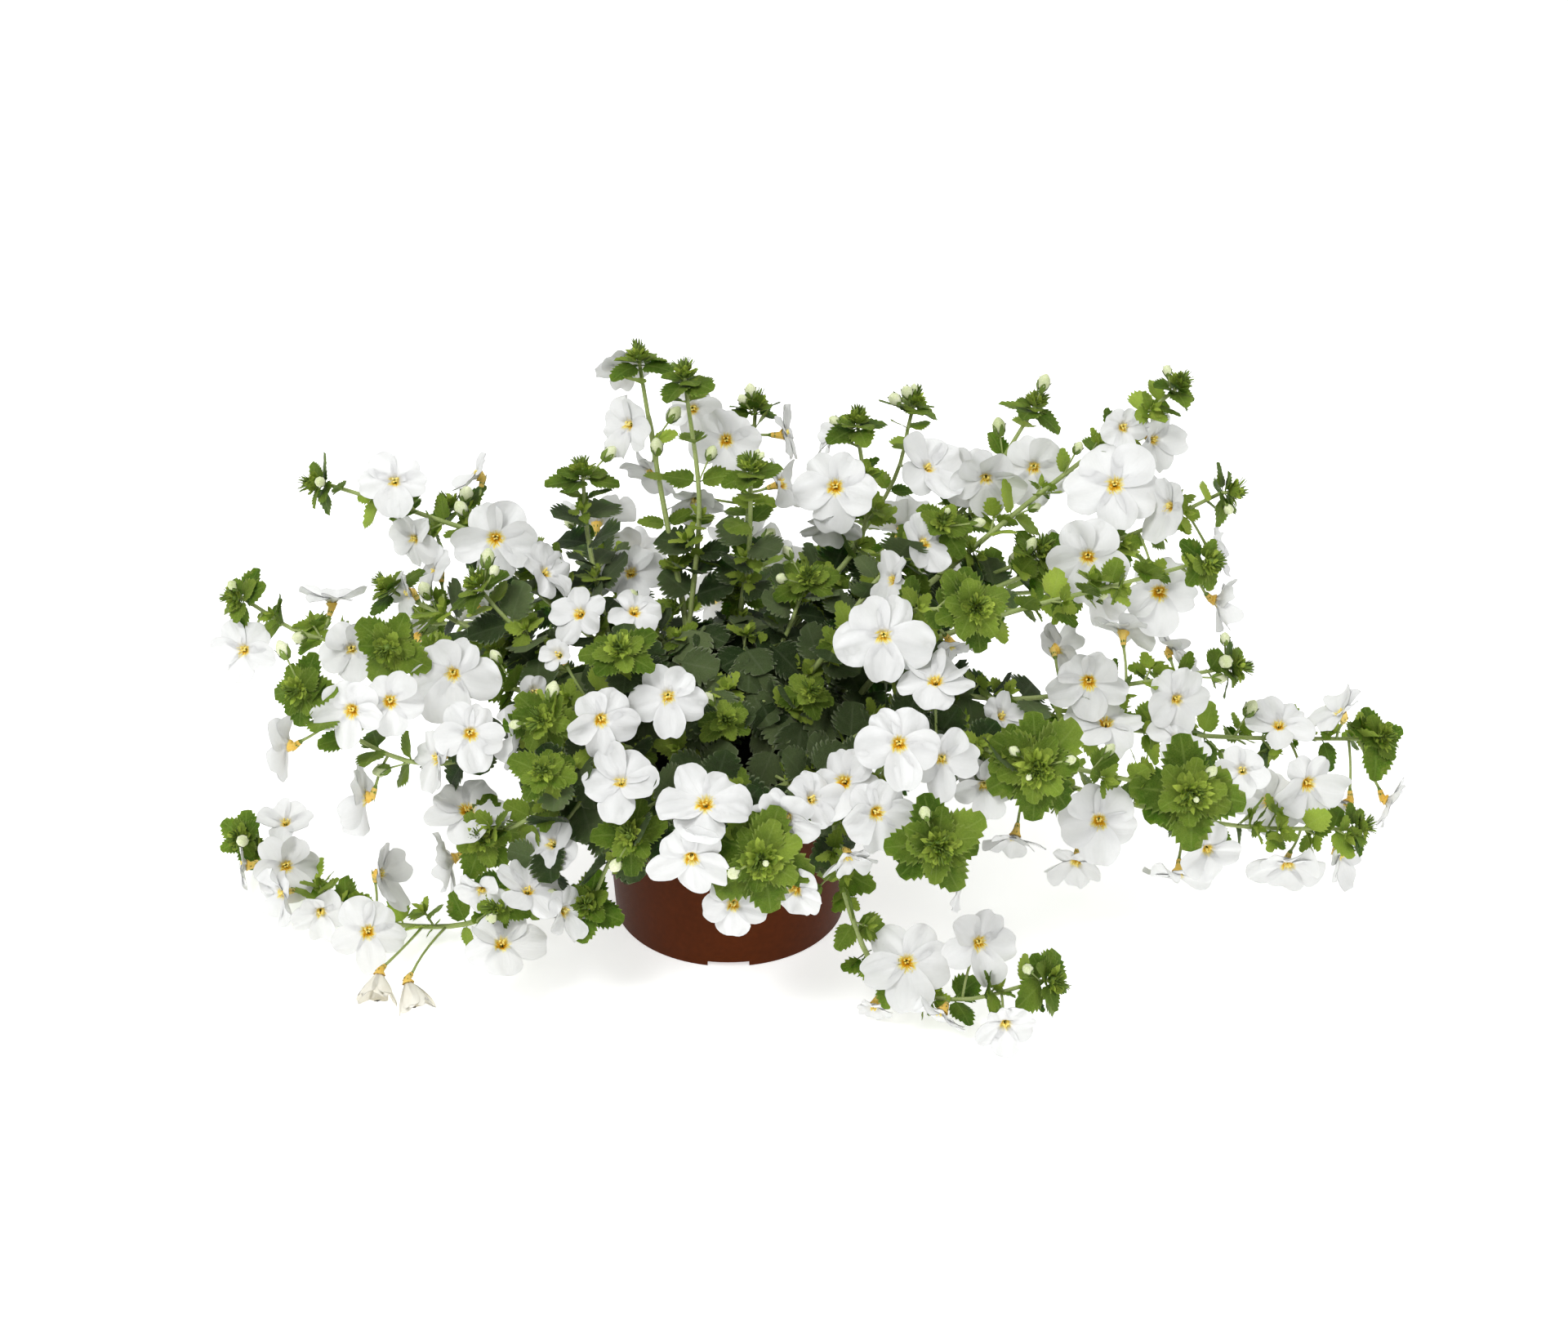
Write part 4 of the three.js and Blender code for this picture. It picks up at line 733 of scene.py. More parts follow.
def lobe_form():
    """How one lobe is cut, cupped, folded and bent."""
    folded = rng.random() < 0.2
    return SimpleNamespace(
        sway=uniform(-8, 8), reach=uniform(0.93, 1.13), broad=uniform(0.84, 1.2),
        dent=uniform(0, 0.12), cup=uniform(0.35, 0.75) if folded else uniform(-0.16, 0.18),
        crease=uniform(0.01, 0.07), tip=uniform(-0.36, 0.2), twist=uniform(-0.2, 0.2),
        wave=uniform(0, tau), ripple=uniform(0.02, 0.08))


def lobe_middle(lobe, sway=0):
    angle = radians((LOBE_EDGES[lobe] + LOBE_EDGES[lobe + 1]) / 2 + sway)
    return sin(angle), cos(angle)


def above_ground(point, least):
    return Vector((point.x, point.y, max(point.z, least)))


def bloom_petals(growth, bloom):
    """Five broad lobes that lie over each other's edges and run down together into the throat.

    The whole number in their marks gives the lobe, and above five the colouring of the throat.
    """
    radius = bloom.across / 2
    matrix = placement(bloom, (bloom.normal + loose() * 0.12).normalized())
    over = rng.choice((-1, 1))
    opening = uniform(-0.12, 0.16)
    colouring = LOBES * rng.randrange(THROATS)
    withered = bloom.normal.z < -0.6 and bloom.across < WITHERED_ACROSS
    for lobe in range(LOBES):
        form = lobe_form()
        x, y = lobe_middle(lobe, form.sway)
        line, across = Vector((x, y, 0)), Vector((y, -x, 0))
        reach = radius * LOBE_REACH[lobe] * LOBE_SIZE[lobe] * form.reach
        widest = radius * LOBE_BROAD * LOBE_SIZE[lobe] * form.broad
        rows = []
        for t in LOBE_ROWS:
            rows.append([])
            for share in LOBE_SHARES:
                aside = lobe_width(t) * share
                out = THROAT_REACH + (reach - THROAT_REACH) * t
                out -= reach * form.dent * exp(-(aside / 0.3) ** 2) * t ** 5
                flat = line * out + across * widest * aside
                part = flat.length / radius
                lift = (LOBE_LIFT + opening) * part * part + form.tip * t ** 2.2
                lift += form.cup * aside * aside * t
                lift += (form.twist + 0.05 * over) * aside * t
                lift -= form.crease * exp(-(share / 0.2) ** 2) * sin(pi * t)
                lift += form.ripple * t * sin(form.wave + 6 * aside + 2 * t)
                deep = min(1.0, max(0.0, 1 - (flat.length - 0.9) / 2.4))
                spot = flat + UP * (radius * lift - 2.1 * deep * deep * (3 - 2 * deep))
                if withered:
                    fall = 0.9 * lift + 1.75 * part - 0.5
                    fall += 0.12 * sin(form.wave + 11 * share) * t
                    spot = flat * (1.5 - 0.42 * t) + UP * (radius * fall)
                under = spot - UP * (0.1 + 0.2 * (1 - t))
                rows[-1].append((above_ground(matrix @ spot, 0.6),
                                 above_ground(matrix @ under, 0.4),
                                 (colouring + lobe + 0.5 + 0.49 * share, part)))
        kept = range(0, len(LOBE_SHARES), 2)
        growth.blade(rows, "withered" if withered else "petal", kept, flip=True)


def bloom_heart(growth, bloom):
    """Anthers in the throat."""
    matrix = placement(bloom, bloom.normal)
    for x, y, z in ANTHERS:
        centre = matrix @ Vector((x, y, z + uniform(0, 0.8)))
        foot = matrix @ Vector((x * 0.8, y * 0.9, -2.9))
        growth.tube([foot, foot.lerp(centre, 0.5), centre], [0.16, 0.15, 0.14], "anther", 4, False)
        line = (bloom.normal + loose() * 0.8).normalized()
        growth.blob(centre, line, 1.6, 0.44, "anther", sides=5, rings=3)


def bloom_back(growth, bloom):
    """The tube behind the petals, its calyx and the stalk down to the stem."""
    throat = bloom.place - bloom.normal * THROAT_DEPTH * 0.75
    back = bloom.place - bloom.normal * (THROAT_DEPTH + 1.2)
    end = bloom.tube_end
    centres = [throat, throat.lerp(back, 0.6), back, back.lerp(end, 0.5), end]
    growth.tube(centres, [2.5, 1.85, 1.5, 1.2, 1.05], "tube", sides=9, capped=False)
    base = end + bloom.line * 0.9
    sepals(growth, base, (back - base).normalized(), (back - base).length + 1.6, 1.05)
    sag = loose((-1, 1), (-1, 1), (-1, 0.4)) * (bloom.seat - base).length * 0.05
    parts = [i / 5 for i in range(6)]
    centres = [base.lerp(bloom.seat, t) + sag * 4 * t * (1 - t) for t in parts]
    radii = [0.62 - 0.1 * sin(pi * t) for t in parts]
    growth.tube(centres, radii, sides=5)
    hairs(growth, centres, radii, 0.7)


# Materials


class Reading:
    """A value that changes over a surface. Sums on it become math nodes."""

    def __init__(self, socket):
        self.socket, self.tree = socket, socket.id_data

    def math(self, operation, other=None, swapped=False):
        made = self.tree.nodes.new("ShaderNodeMath")
        made.operation = operation
        for socket, value in zip(made.inputs, (other, self) if swapped else (self, other)):
            if value is not None:
                feed(socket, value)
        return Reading(made.outputs[0])

    def held(self):
        """The same value, held between 0 and 1."""
        self.socket.node.use_clamp = True
        return self

    def other(self, label):
        """Another output of the same node."""
        return Reading(self.socket.node.outputs[label])

    __add__ = partialmethod(math, "ADD")
    __sub__ = partialmethod(math, "SUBTRACT")
    __rsub__ = partialmethod(math, "SUBTRACT", swapped=True)
    __mul__ = partialmethod(math, "MULTIPLY")
    __truediv__ = partialmethod(math, "DIVIDE")
    __mod__ = partialmethod(math, "MODULO")
    __pow__ = partialmethod(math, "POWER")
    __abs__ = partialmethod(math, "ABSOLUTE")


def feed(socket, value):
    """Links a reading to the socket, or sets a number or a colour on it."""
    if isinstance(value, Reading):
        value.tree.links.new(value.socket, socket)
    else:
        socket.default_value = (*value, 1) if socket.type == "RGBA" else value


def node(tree, kind, output=0, group=None, **inputs):
    """A new node with these inputs, read at one of its outputs."""
    made = tree.nodes.new("ShaderNode" + kind)
    if group:
        made.node_tree = group
    for label, value in inputs.items():
        feed(made.inputs[label.replace("_", " ")], value)
    return Reading(made.outputs[output])


def blend(factor, a, b):
    """A colour between two, by a factor that changes over the surface."""
    made = factor.tree.nodes.new("ShaderNodeMix")
    made.data_type = "RGBA"
    for place, value in ((0, factor), (6, a), (7, b)):
        feed(made.inputs[place], value)
    return Reading(made.outputs[2])


def shader(name, **sockets):
    """A material with the values that are the same all over set on the shader itself."""
    material = bpy.data.materials.new(name)
    material.use_nodes = True
    for label, value in sockets.items():
        feed(material.node_tree.nodes["Principled BSDF"].inputs[label.replace("_", " ")], value)
    return material


def coat(material, colour, height, strength, distance):
    """Leads the colour and a bump to the shader."""
    tree = material.node_tree
    surface = tree.nodes["Principled BSDF"].inputs
    feed(surface["Base Color"], colour)
    feed(surface["Normal"],
         node(tree, "Bump", "Normal", Strength=strength, Distance=distance, Height=height))
    return material


def effect(name, inputs, outputs):
    """A shader node group with named inputs and outputs, its inputs' readings and its end."""
    group = bpy.data.node_groups.new(name, "ShaderNodeTree")
    kind = "NodeSocketFloat"
    for label, value in inputs.items():
        socket = group.interface.new_socket(label, in_out="INPUT", socket_type=kind)
        socket.default_value = value
    for label in outputs:
        group.interface.new_socket(label, in_out="OUTPUT", socket_type=kind)
    given = group.nodes.new("NodeGroupInput").outputs
    end = group.nodes.new("NodeGroupOutput").inputs
    return group, {label: Reading(given[label]) for label in inputs}, end


def make_tone():
    """Uneven colour from leaf to leaf and within one: two noises mixed into one mask."""
    group, given, end = effect(
        "uneven tone", {"Broad Scale": 60, "Fine Scale": 900, "Fine Share": 0.3}, ["Mask"])
    place = node(group, "TexCoord", "Object")
    broad = node(group, "TexNoise", "Fac", Detail=1, Vector=place, Scale=given["Broad Scale"])
    fine = node(group, "TexNoise", "Fac", Detail=3, Vector=place, Scale=given["Fine Scale"])
    mix = node(group, "Mix", Factor=given["Fine Share"], A=broad, B=fine)
    feed(end["Mask"], node(group, "MapRange", Value=mix, From_Min=0.3, From_Max=0.7))
    return group


def blade_marks(tree):
    """The marks of a blade: both as one, the whole number, the share across and the part along."""
    marks = node(tree, "UVMap", "UV")
    marks.socket.node.uv_map = "blade"
    across = node(tree, "SeparateXYZ", "X", Vector=marks)
    number = across.math("FLOOR")
    return marks, number, across - number, across.other("Y")


def make_leaf_skin():
    """A leaf's tint, midrib and side veins, puckers and painted shade in their hollows, down with
    its rim, and height.
    """
    group, given, end = effect("leaf skin", {"Pairs": 4, "Slant": 1.2, "Ribs": 0.8},
                               ["Tint", "Veins", "Puckers", "Down", "Height"])
    _, number, share, along = blade_marks(group)
    across = abs(share - 0.5) * 2
    midrib = (1 - across * 11).held()
    slanted = across * given["Slant"] + node(group, "TexNoise", "Fac", Scale=220) * 1.1
    wave = ((along * given["Pairs"] - slanted) * tau).math("COSINE")
    side = (wave - 0.82).held() * 4
    rim = ((across - 0.84).held() * 9).held()
    puckers = node(group, "TexVoronoi", "Distance", Scale=480)
    hairs = (0.24 - node(group, "TexVoronoi", "Distance", Scale=1100)).held()
    fuzz = node(group, "TexNoise", "Fac", Scale=2600)
    ribbed = (wave * -0.5 - midrib * 0.8) * given["Ribs"]
    feed(end["Tint"], number / (TINTS - 1))
    feed(end["Veins"], midrib.math("MAXIMUM", side * 0.7).held())
    # The pucker distance goes out to darken the colour in the hollows between the puckers: painted
    # shade.
    feed(end["Puckers"], puckers)
    feed(end["Down"], (hairs * 6).held() + rim)
    feed(end["Height"], ribbed + fuzz * 0.8 + puckers * -1.6)
    return group


def make_petal_skin():
    """A petal's fine rays, and how far each spot is from the middle for the throat's colours."""
    group, given, end = effect("petal skin", {"Lobe Shift": 0.034, "Bloom Shift": 0.07,
                                              "Ragged": 0.3}, ["Rays", "Throat"])
    marks, number, _, along = blade_marks(group)
    stretch = node(group, "Mapping", Vector=marks, Scale=(12, 2.2, 1))
    rays = node(group, "TexNoise", "Fac", Vector=stretch, Scale=1, Detail=3)
    lowest = 2 - abs(number % LOBES - 2)
    colouring = (number / LOBES).math("FLOOR") / (THROATS - 1)
    reach = along - lowest * given["Lobe Shift"] + colouring * given["Bloom Shift"]
    feed(end["Rays"], rays)
    feed(end["Throat"], reach + (rays - 0.5) * given["Ragged"])
    return group


def tone(material, broad, fine, share):
    return node(material.node_tree, "Group", "Mask", TONE,
                Broad_Scale=broad, Fine_Scale=fine, Fine_Share=share)


def blade_material(name, dark, light, vein, vein_share, broad, strength, ribs, hairy):
    """A leaf: its tint and patches, paler veins and down, ribs and puckers between them, and
    painted shade in the puckers' hollows.
    """
    material = shader(name, Roughness=0.55, Specular_IOR_Level=0.14, Subsurface_Weight=0.12,
                      Subsurface_Radius=(0.4, 1, 0.2), Subsurface_Scale=0.0015)
    skin = node(material.node_tree, "Group", "Tint", LEAF_SKIN, Ribs=ribs)
    # Painted shade: the colour darkens in the hollows between the puckers, where the bump also
    # sinks.
    lightness = skin * 0.8 + tone(material, broad, 1600, 0.35) * 0.3 + skin.other("Puckers") * -0.2
    colour = blend((lightness + 0.08).held() ** 1.25, dark, light)
    colour = blend(skin.other("Veins") * vein_share, colour, vein)
    colour = blend((skin.other("Down") * hairy).held(), colour, vein)
    return coat(material, colour, skin.other("Height"), strength, 0.0004)


def plain_material(name, dark, light, roughness=0.5, glow=0.1):
    material = shader(name, Roughness=roughness, Specular_IOR_Level=0.3, Subsurface_Weight=glow,
                      Subsurface_Radius=(1, 1, 0.6), Subsurface_Scale=0.001)
    mask = tone(material, 120, 1800, 0.5)
    return coat(material, blend(mask, dark, light), mask, 0.25, 0.0003)


# The throat from its middle out: place, which of its colours, how much of it covers the petal
THROAT_STEPS = [(0, 0, 1), (0.09, 1, 1), (0.14, 2, 1), (0.22, 2, 0)]


def petal_material(name, white, shade, throat):
    """White petals with fine rays, greyer in patches, and a yellow to orange throat."""
    material = shader(name, Roughness=0.55, Specular_IOR_Level=0.25, Subsurface_Weight=0.3,
                      Subsurface_Radius=(1, 1, 1), Subsurface_Scale=0.002)
    rays = node(material.node_tree, "Group", "Rays", PETAL_SKIN)
    colour = blend((tone(material, 90, 700, 0.3) + rays) * 0.32, white, shade)
    ramp = node(material.node_tree, "ValToRGB", "Color", Fac=rays.other("Throat"))
    elements = ramp.socket.node.color_ramp.elements
    elements.remove(elements[1])
    for place, which, cover in THROAT_STEPS:
        element = elements.new(place) if place else elements[0]
        element.color = (*throat[which], cover)
    return coat(material, blend(ramp.other("Alpha"), colour, ramp), rays, 0.35, 0.0004)


TONE = make_tone()
LEAF_SKIN = make_leaf_skin()
PETAL_SKIN = make_petal_skin()
MATERIALS = {
    "stem": plain_material("stem skin", (0.24, 0.32, 0.08), (0.43, 0.5, 0.2), glow=0.15),
    "young": blade_material(
        "young leaf", (0.042, 0.09, 0.003), (0.53, 0.69, 0.095), (0.48, 0.6, 0.16),
        vein_share=0.18, broad=75, strength=0.55, ribs=0.8, hairy=0.32),
    "old": blade_material(
        "older leaf", (0.012, 0.034, 0.004), (0.2, 0.262, 0.105), (0.34, 0.4, 0.24),
        vein_share=0.16, broad=60, strength=0.8, ribs=0.45, hairy=0.7),
    "petal": petal_material(
        "white petal", (0.87, 0.875, 0.868), (0.69, 0.705, 0.695),
        ((0.5, 0.16, 0.003), (0.88, 0.46, 0.008), (0.95, 0.8, 0.16))),
    "tube": plain_material("bloom tube", (0.84, 0.46, 0.04), (0.92, 0.72, 0.22), glow=0.3),
    "calyx": plain_material("calyx", (0.09, 0.16, 0.02), (0.24, 0.34, 0.06), 0.55),
    "bud": plain_material("bud", (0.5, 0.58, 0.26), (0.84, 0.86, 0.64), glow=0.3),
    "anther": plain_material("anther", (0.9, 0.66, 0.08), (0.97, 0.86, 0.32), 0.6),
    "hair": plain_material("hair", (0.5, 0.6, 0.35), (0.75, 0.8, 0.6)),
    "withered": petal_material(
        "withered petal", (0.88, 0.87, 0.78), (0.7, 0.62, 0.44),
        ((0.2, 0.08, 0.01), (0.4, 0.2, 0.03), (0.5, 0.36, 0.12))),
}


# Pot and soil


def turned(name, profile):
    """A closed turned shape from a profile of (radius, height) in millimetres."""
    points, faces, rings = [], [], []
    for radius, height in profile:
        ring = range(len(points), len(points) + (POT_SIDES if radius else 1))
        for k in range(len(ring)):
            angle = tau * k / POT_SIDES
            points.append((radius * cos(angle) * MM, radius * sin(angle) * MM, height * MM))
        rings.append(ring)
    for inner, outer in zip(rings, rings[1:]):
        for k in range(POT_SIDES):
            a, b = inner[k % len(inner)], inner[(k + 1) % len(inner)]
            c, d = outer[(k + 1) % len(outer)], outer[k % len(outer)]
            faces.append(tuple(dict.fromkeys((a, d, c, b))))
    return make_object(name, points, faces)


def cut(piece, angle, reach, height):
    """Takes the active object out of the piece, from where the angle and the reach put it."""
    cutter = bpy.context.object
    cutter.location = (sin(angle) * reach * MM, -cos(angle) * reach * MM, height * MM)
    modifier = piece.modifiers.new("cut", "BOOLEAN")
    modifier.object = cutter
    modifier.operation = "DIFFERENCE"
    modifier.solver = "EXACT"
    bpy.context.view_layer.objects.active = piece
    bpy.ops.object.modifier_apply(modifier=modifier.name)
    bpy.data.objects.remove(cutter)


def make_pot():
    base, wall, rim, top = BASE_RADIUS, WALL_TOP_RADIUS, RIM_RADIUS, POT_HEIGHT
    foot, band, floor = base - FOOT_WIDTH, top - BAND_HEIGHT, FOOT_RAISE + POT_WALL
    pot = turned("nursery_pot", [
        (0, 0), (PAD_RADIUS, 0), (PAD_RADIUS + 1, FOOT_RAISE), (foot - 1, FOOT_RAISE),
        (foot, 0.2), (foot + 0.3, 0), (base - 0.4, 0), (base, 0.5), (wall - 0.05, band - 0.5),
        (wall, band), (rim - 1.2, band), (rim - 0.8, band + 0.4), (rim - 0.05, top - 0.9),
        (rim - 0.3, top - 0.2), (rim - 0.6, top), (rim - POT_WALL + 0.3, top),
        (rim - POT_WALL, top - 0.4), (wall - POT_WALL, band - POT_WALL),
        (base - POT_WALL, floor), (0, floor),
    ])
    for i in range(4):
        angle = i * pi / 2
        bpy.ops.mesh.primitive_cube_add(size=1)
        bpy.context.object.scale = (NOTCH_WIDTH * MM, FOOT_WIDTH * 3 * MM, NOTCH_HEIGHT * 2 * MM)
        bpy.context.object.rotation_euler.z = angle
        cut(pot, angle, base - FOOT_WIDTH / 2, 0)
        bpy.ops.mesh.primitive_cylinder_add(
            vertices=32, radius=DRAIN_RADIUS * MM, depth=POT_WALL * 4 * MM)
        cut(pot, angle + pi / 4, DRAIN_CIRCLE, floor - POT_WALL / 2)
    bpy.context.view_layer.objects.active = pot
    pot.select_set(True)
    bpy.ops.object.shade_smooth_by_angle(angle=SMOOTH_ANGLE)
    plastic = shader("moulded pot plastic", Roughness=0.5, Specular_IOR_Level=0.1,
                     Specular_Tint=(1, 0.6, 0.4))
    mask = tone(plastic, 14, 420, 0.35)
    colour = blend(mask, (0.054, 0.0105, 0.0012), (0.093, 0.0185, 0.0024))
    grain = node(plastic.node_tree, "TexNoise", "Fac", Scale=1400)
    pot.data.materials.clear()
    pot.data.materials.append(coat(plastic, colour, grain, 0.18, 0.0003))
    dress(pot, "pot")


def make_soil():
    """The packed soil stays and carries loose crumbs."""
    material = shader("potting soil", Roughness=0.95)
    mask = tone(material, 90, 700, 0.5)
    lumps = node(material.node_tree, "TexVoronoi", "Distance", Scale=420)
    coat(material, blend(mask, (0.012, 0.007, 0.004), (0.06, 0.038, 0.024)), lumps, 1, 0.002)
    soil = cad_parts["soil"]
    soil.data.materials.clear()
    soil.data.materials.append(material)
    rng.seed(SOIL_SEED)
    points, faces = [], []
    for _ in range(CRUMBS):
        angle, reach = uniform(0, tau), CRUMB_REACH * sqrt(rng.random())
        size = uniform(*CRUMB_SIZES)
        height = SOIL_TOP - 0.2 - 2.3 * max(0, (reach - 32) / 15) + uniform(-0.4, 0.5)
        centre = around(angle, reach, height)
        first = len(points)
        for corner in ((1, 0, 0), (-1, 0, 0), (0, 1, 0), (0, -1, 0), (0, 0, 1), (0, 0, -1)):
            points.append(tuple((centre + Vector(corner) * size * uniform(0.5, 1)) * MM))
        for a, b in ((0, 2), (2, 1), (1, 3), (3, 0)):
            faces.append((first + a, first + b, first + 4))
        for a, b in ((2, 0), (1, 2), (3, 1), (0, 3)):
            faces.append((first + a, first + b, first + 5))
    crumbs = make_object("soil_crumbs", points, faces, smooth=False)
    crumbs.data.materials.append(material)
    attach(crumbs, "root")


# Plant


def corner_tree(names):
    """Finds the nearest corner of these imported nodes: the name of its node, and how far it is."""
    corners = [(vertex.co / MM, name)
               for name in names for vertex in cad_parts[name].data.vertices]
    tree = kdtree.KDTree(len(corners))
    for i, (place, _) in enumerate(corners):
        tree.insert(place, i)
    tree.balance()

    def nearest(place):
        _, index, distance = tree.find(place)
        return corners[index][1], distance

    return nearest


def bloom_node(bloom, nearest):
    """The bloom node that holds this bloom, or None where it is one body with its stem."""
    matrix = placement(bloom, bloom.normal)
    votes = {}
    for lobe in range(LOBES):
        x, y = lobe_middle(lobe)
        reach = bloom.across / 2 * LOBE_REACH[lobe]
        corner = Vector((reach * x, reach * y, LOBE_LIFT * bloom.across / 2))
        name, distance = nearest(matrix @ corner)
        if distance < 1:
            votes[name] = votes.get(name, 0) + 1
    return max(votes, key=votes.get) if votes and max(votes.values()) >= 2 else None


def lay_out():
    """The stems with their routes, and the blooms with their places, tubes and seats."""
    stems = [SimpleNamespace(name=name, old=name == "heart", root=root, shoots=shoots,
                             routes=shoot_routes(root, fork, shoots))
             for name, (root, fork, *shoots) in STEMS.items()]
    seats = []
    for stem in stems:
        for route in stem.routes:
            along = FIRST_SEAT
            while along < route.length - SEAT_SPACING:
                part = along / route.length
                seats.append(SimpleNamespace(
                    place=route.chord(part), fine=route.along(part), stem=stem))
                along += SEAT_SPACING
    blooms = [SimpleNamespace(place=Vector(place), normal=direction(turn, rise), across=across,
                              shift=0)
              for *place, turn, rise, across in BLOOMS]
    ease_blooms(blooms, seats)
    for bloom in blooms:
        seat = seat_of(bloom, seats)
        back = bloom.place - bloom.normal * (THROAT_DEPTH + 1)
        bloom.stem, bloom.seat = seat.stem, seat.fine
        bloom.tube_end = back + (seat.place - back).normalized() * TUBE_LENGTH
        bloom.line = (seat.place - bloom.tube_end).normalized()
    return stems, blooms


def clear_of_blooms(place):
    for bloom in blooms:
        offset = place - bloom.place
        if offset.length < bloom.across / 2 + 2:
            height = offset.dot(bloom.normal)
            out = (offset - bloom.normal * height).length
            if abs(height) < PETAL_CLEAR and out < bloom.across * PETAL_SPAN:
                return False
    return True


def clear_of_pot(place):
    out = hypot(place.x, place.y)
    return place.z > 1.2 and (place.z > POT_HEIGHT + 0.5 or out > RIM_RADIUS + 0.8 or (
        out < WALL_TOP_RADIUS - 3 and place.z > SOIL_TOP + 1))


def try_leaf(growth, origin, axis, normal, length, cut, **more):
    for part in (0.5, 0.8, 1.0):
        spot = origin + axis * length * part - normal * LEAF_DROOP * length * part * part
        if not (clear_of_blooms(spot) and clear_of_pot(spot)):
            return False
    leaf(growth, origin, axis, normal, length, cut, **more)
    return True


def stem_tubes(growth, stem):
    for route in stem.routes:
        count = max(4, round(route.length / 7))
        centres, radii, (thick, taper) = [], [], (1.15, 0.4)
        if route is stem.routes[0]:
            centres = [Vector((*stem.root, SOIL_TOP - 6)), Vector((*stem.root, SOIL_TOP - 1))]
            radii, (thick, taper) = [1.7, 1.65], (1.5, 0.75)
        for i in range(count + 1):
            centres.append(route.along(i / count))
            radii.append(thick - taper * (i / count))
        growth.tube(centres, radii, sides=8)
        hairs(growth, centres[2:], radii[2:], 1.1)


def large_leaves(growth, stem, places, nearest):
    """The leaves that the solids have: each is found again by where its tip is."""
    found = []
    for place in places:
        for attempt, swing in enumerate(LEAF_SWINGS):
            axis, normal = leaf_axes(place.tangent, place.out, swing, 0.45 + 0.25 * attempt)
            origin = place.route.chord(place.part)
            tip = origin + axis * place.size
            if nearest(tip - normal * LEAF_DROOP * place.size)[1] < FOUND_NEAR:
                start = place.route.along(place.part)
                line = (tip - start).normalized()
                cut = OLD if stem.old else YOUNG
                leaf(growth, start, line, square_to(normal, line), place.size, cut)
                found.append(start)
                break
    return found


def small_leaves(growth, stem, found):
    """Smaller pairs between the larger ones: dark and broad near the pot, bright near the tips."""
    upright = stem.name.startswith("upright")
    for route in stem.routes:
        turn = uniform(0, pi)
        along = 10 if stem.old else 16
        while along < route.length - 5:
            part = along / route.length
            origin = route.along(part)
            turn += pi / 2 + uniform(-0.2, 0.2)
            low = along < (LOW_UPRIGHT if upright else LOW)
            if all((origin - other).length > 6 for other in found):
                leaf_pair(growth, route, part, turn, low, upright)
            along += uniform(8, 11) if low else uniform(14, 19) if upright else uniform(10.5, 15)


def leaf_pair(growth, route, part, turn, low, upright):
    """A pair of smaller leaves, with a side shoot or a bud in the corner of some."""
    origin = route.along(part)
    fold = uniform(0.3, 0.8)
    for tangent, out in pair_ways(route, part, turn):
        axis, normal = leaf_axes(tangent, out, 0, fold)
        normal = square_to(normal + SUNWARD, axis)
        size = uniform(12, 18) if low else uniform(10.5, 16.5)
        tint = 0.75 * TINTS * rng.random() ** 1.4
        for shrink in (1, 0.75):
            length, cut = size * shrink, OLD if low else YOUNG
            if try_leaf(growth, origin, axis, normal, length, cut, tint=tint):
                break
        line = (axis + normal * uniform(0.3, 1.2)).normalized()
        if rng.random() < (0.3 if low or upright else 0.5):
            side_shoot(growth, origin, line, uniform(11, 17))
        elif rng.random() < 0.2 and not low:
            stalked_bud(growth, origin, line)


def tip_rosettes(growth, stem):
    for ((across, turn, rise), *_), route in zip(stem.shoots, stem.routes):
        tip = route.along(1)
        along = (tip - route.along(1 - 1 / route.steps)).normalized()
        upward = (along + Vector((0, 0, 0.5))).normalized()
        normal = upward if turn is None else direction(turn, rise)
        centre = tip + normal * NECK_LENGTH
        growth.tube([tip, tip.lerp(centre, 0.6) + along * 0.6, centre], [0.75, 0.75, 0.7], sides=7)
        rosette(growth, centre, normal, across)
        for _ in range(rng.choice((0, 1, 1, 1, 2))):
            aside = loose((-1, 1), (-1, 0.5), (-0.3, 1))
            line = (aside - normal * aside.dot(normal) * 0.7 + normal * 0.3).normalized()
            stalked_bud(growth, tip + line * 1.5, line)


def heart_dome(growth, stem):
    """Broad dark leaves of the middle, layer over layer, and short bright shoots among them."""
    anchors = [route.along(k / 12) for route in stem.routes for k in range(2, 11)]
    for i in range(DOME_LEAVES):
        z = 1 - (i + uniform(0.1, 0.9)) / DOME_LEAVES * 1.02
        spin = i * GOLDEN_TURN + uniform(-0.3, 0.3)
        out = around(spin, sqrt(max(0, 1 - z * z)), z)
        place = DOME_MIDDLE + out * DOME_REACH * uniform(0.74, 1.04)
        lean = loose((-0.4, 0.4), (-0.4, 0.4), (-0.3, 0.3))
        normal = (out + Vector((0, -0.3, 0.4)) + lean).normalized()
        down = Vector((out.x, out.y, -0.5)) + Vector((uniform(-1, 1), uniform(-1, 1), 0))
        axis = square_to(down, normal)
        size = uniform(13, 20)
        origin = place - axis * size * 0.55
        if not clear_of_pot(origin):
            continue
        if i % 6 == 3:
            foot = place - normal * 3
            grown = side_shoot(growth, foot, normal, uniform(12, 17))
        else:
            foot = origin + axis * 0.6
            droop = uniform(-0.04, 0.16)
            grown = try_leaf(growth, origin, axis, normal, size, OLD, droop=droop)
        if grown:
            anchor = min(anchors, key=lambda spot: (spot - foot).length)
            bend = anchor.lerp(foot, 0.6) - normal * 1.5
            growth.tube([anchor, bend, foot], [0.7, 0.6, 0.55], sides=5)


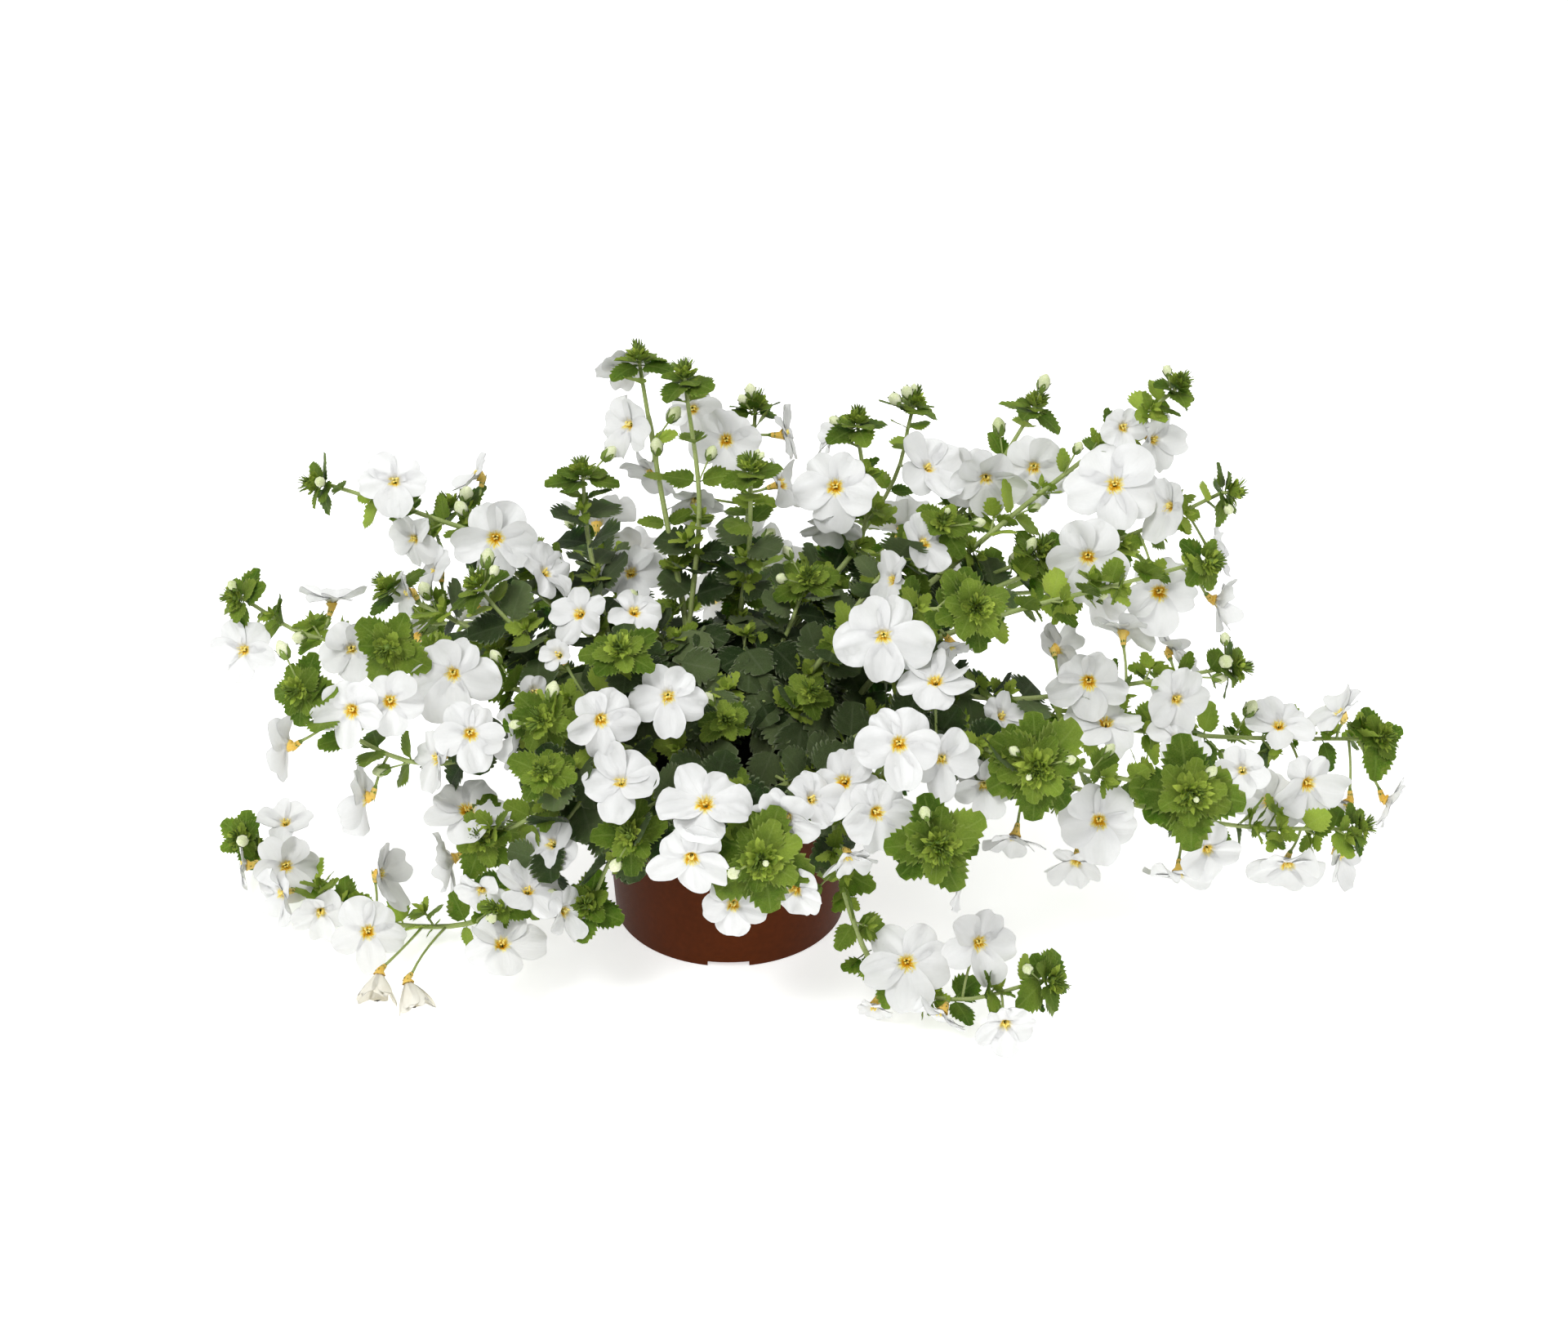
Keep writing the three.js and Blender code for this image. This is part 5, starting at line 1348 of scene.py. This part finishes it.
def rim_leaves(growth):
    """Older leaves that lie out over the pot's rim, most of them at the front."""
    for turn in RIM_TURNS:
        out = around(radians(turn + uniform(-6, 6)))
        origin = out * uniform(47, 51) + UP * uniform(80.5, 86)
        drop = uniform(0.15, 0.75)
        axis = (out + out.cross(UP) * uniform(-0.5, 0.5) - UP * drop).normalized()
        normal = (UP + out * drop + Vector((0, -0.2, 0))).normalized()
        size, droop = uniform(15, 20), uniform(0, 0.15)
        if try_leaf(growth, origin, axis, square_to(normal, axis), size, OLD, droop=droop):
            stalk = [out * 32 + UP * (SOIL_TOP - 1.5), out * 38 + UP * 80, origin + axis]
            growth.tube(stalk, [0.85, 0.75, 0.55], sides=5)


def grow():
    nearest = corner_tree([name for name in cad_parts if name.startswith("blooms_")])
    groups = {}
    for index, bloom in enumerate(blooms):
        rng.seed(BLOOM_SEED + index)
        key = bloom_node(bloom, nearest) or "stem_" + bloom.stem.name
        growth = groups.setdefault(key, Growth())
        bloom_petals(growth, bloom)
        bloom_heart(growth, bloom)
        bloom_back(growth, bloom)
    for key, growth in groups.items():
        name = key.replace("blooms_", "bloom_").replace("stem_", "petals_")
        growth.piece(name, key, "petal")
    leaf_random = seeded(LEAF_SEED)
    for index, stem in enumerate(stems):
        rng.seed(STEM_SEED + index)
        node_name = "stem_" + stem.name
        growth = Growth()
        stem_tubes(growth, stem)
        places = [place for route in stem.routes for place in leaf_places(stem, route, leaf_random)]
        found = large_leaves(growth, stem, places, corner_tree([node_name]))
        small_leaves(growth, stem, found)
        tip_rosettes(growth, stem)
        if stem.old:
            heart_dome(growth, stem)
            rim_leaves(growth)
        growth.piece("leafy_" + stem.name, node_name, "old_leaf" if stem.old else "leaf")


# Setting


def link(name, data, place, back):
    """A lamp or a camera at a place, with its back to this direction."""
    made = bpy.data.objects.new(name, data)
    made.location = place
    made.rotation_euler = (-back).to_track_quat("-Z", "Y").to_euler()
    bpy.context.scene.collection.objects.link(made)
    return made


def area_light(name, place, size, power):
    data = bpy.data.lights.new(name, "AREA")
    data.size, data.energy = size, power
    link(name, data, place, Vector(place) - Vector((0.02, 0, 0.1)))


def setting():
    scene = bpy.context.scene
    scene.world = bpy.data.worlds.new("studio")
    scene.world.use_nodes = True
    sky = scene.world.node_tree.nodes["Background"].inputs
    sky["Color"].default_value = (1, 1, 1, 1)
    sky["Strength"].default_value = 0.5
    scene.view_settings.view_transform = "Standard"
    floor = make_object("floor", [(-6, -6, 0), (6, -6, 0), (6, 6, 0), (-6, 6, 0)], [(0, 1, 2, 3)],
                        smooth=False)
    floor.data.materials.append(shader(
        "pale floor", Base_Color=(0.93, 0.93, 0.93), Roughness=0.9, Emission_Color=(1, 1, 1),
        Emission_Strength=0.62))
    area_light("key", (-0.6, -0.9, 1.5), 0.5, 15)
    area_light("fill", (1.1, -0.8, 1.0), 1.0, 3)
    area_light("top", (0.1, 0.4, 1.7), 1.0, 7)
    camera = bpy.data.cameras.new("camera")
    camera.sensor_width, camera.lens = 36, CAMERA_FOCAL
    camera.clip_start, camera.clip_end = 0.05, 50
    back = Vector((0, -cos(CAMERA_RISE), sin(CAMERA_RISE)))
    scene.camera = link("camera", camera, CAMERA_TARGET + back * CAMERA_DISTANCE, back)


stems, blooms = lay_out()
setting()
make_pot()
make_soil()
grow()
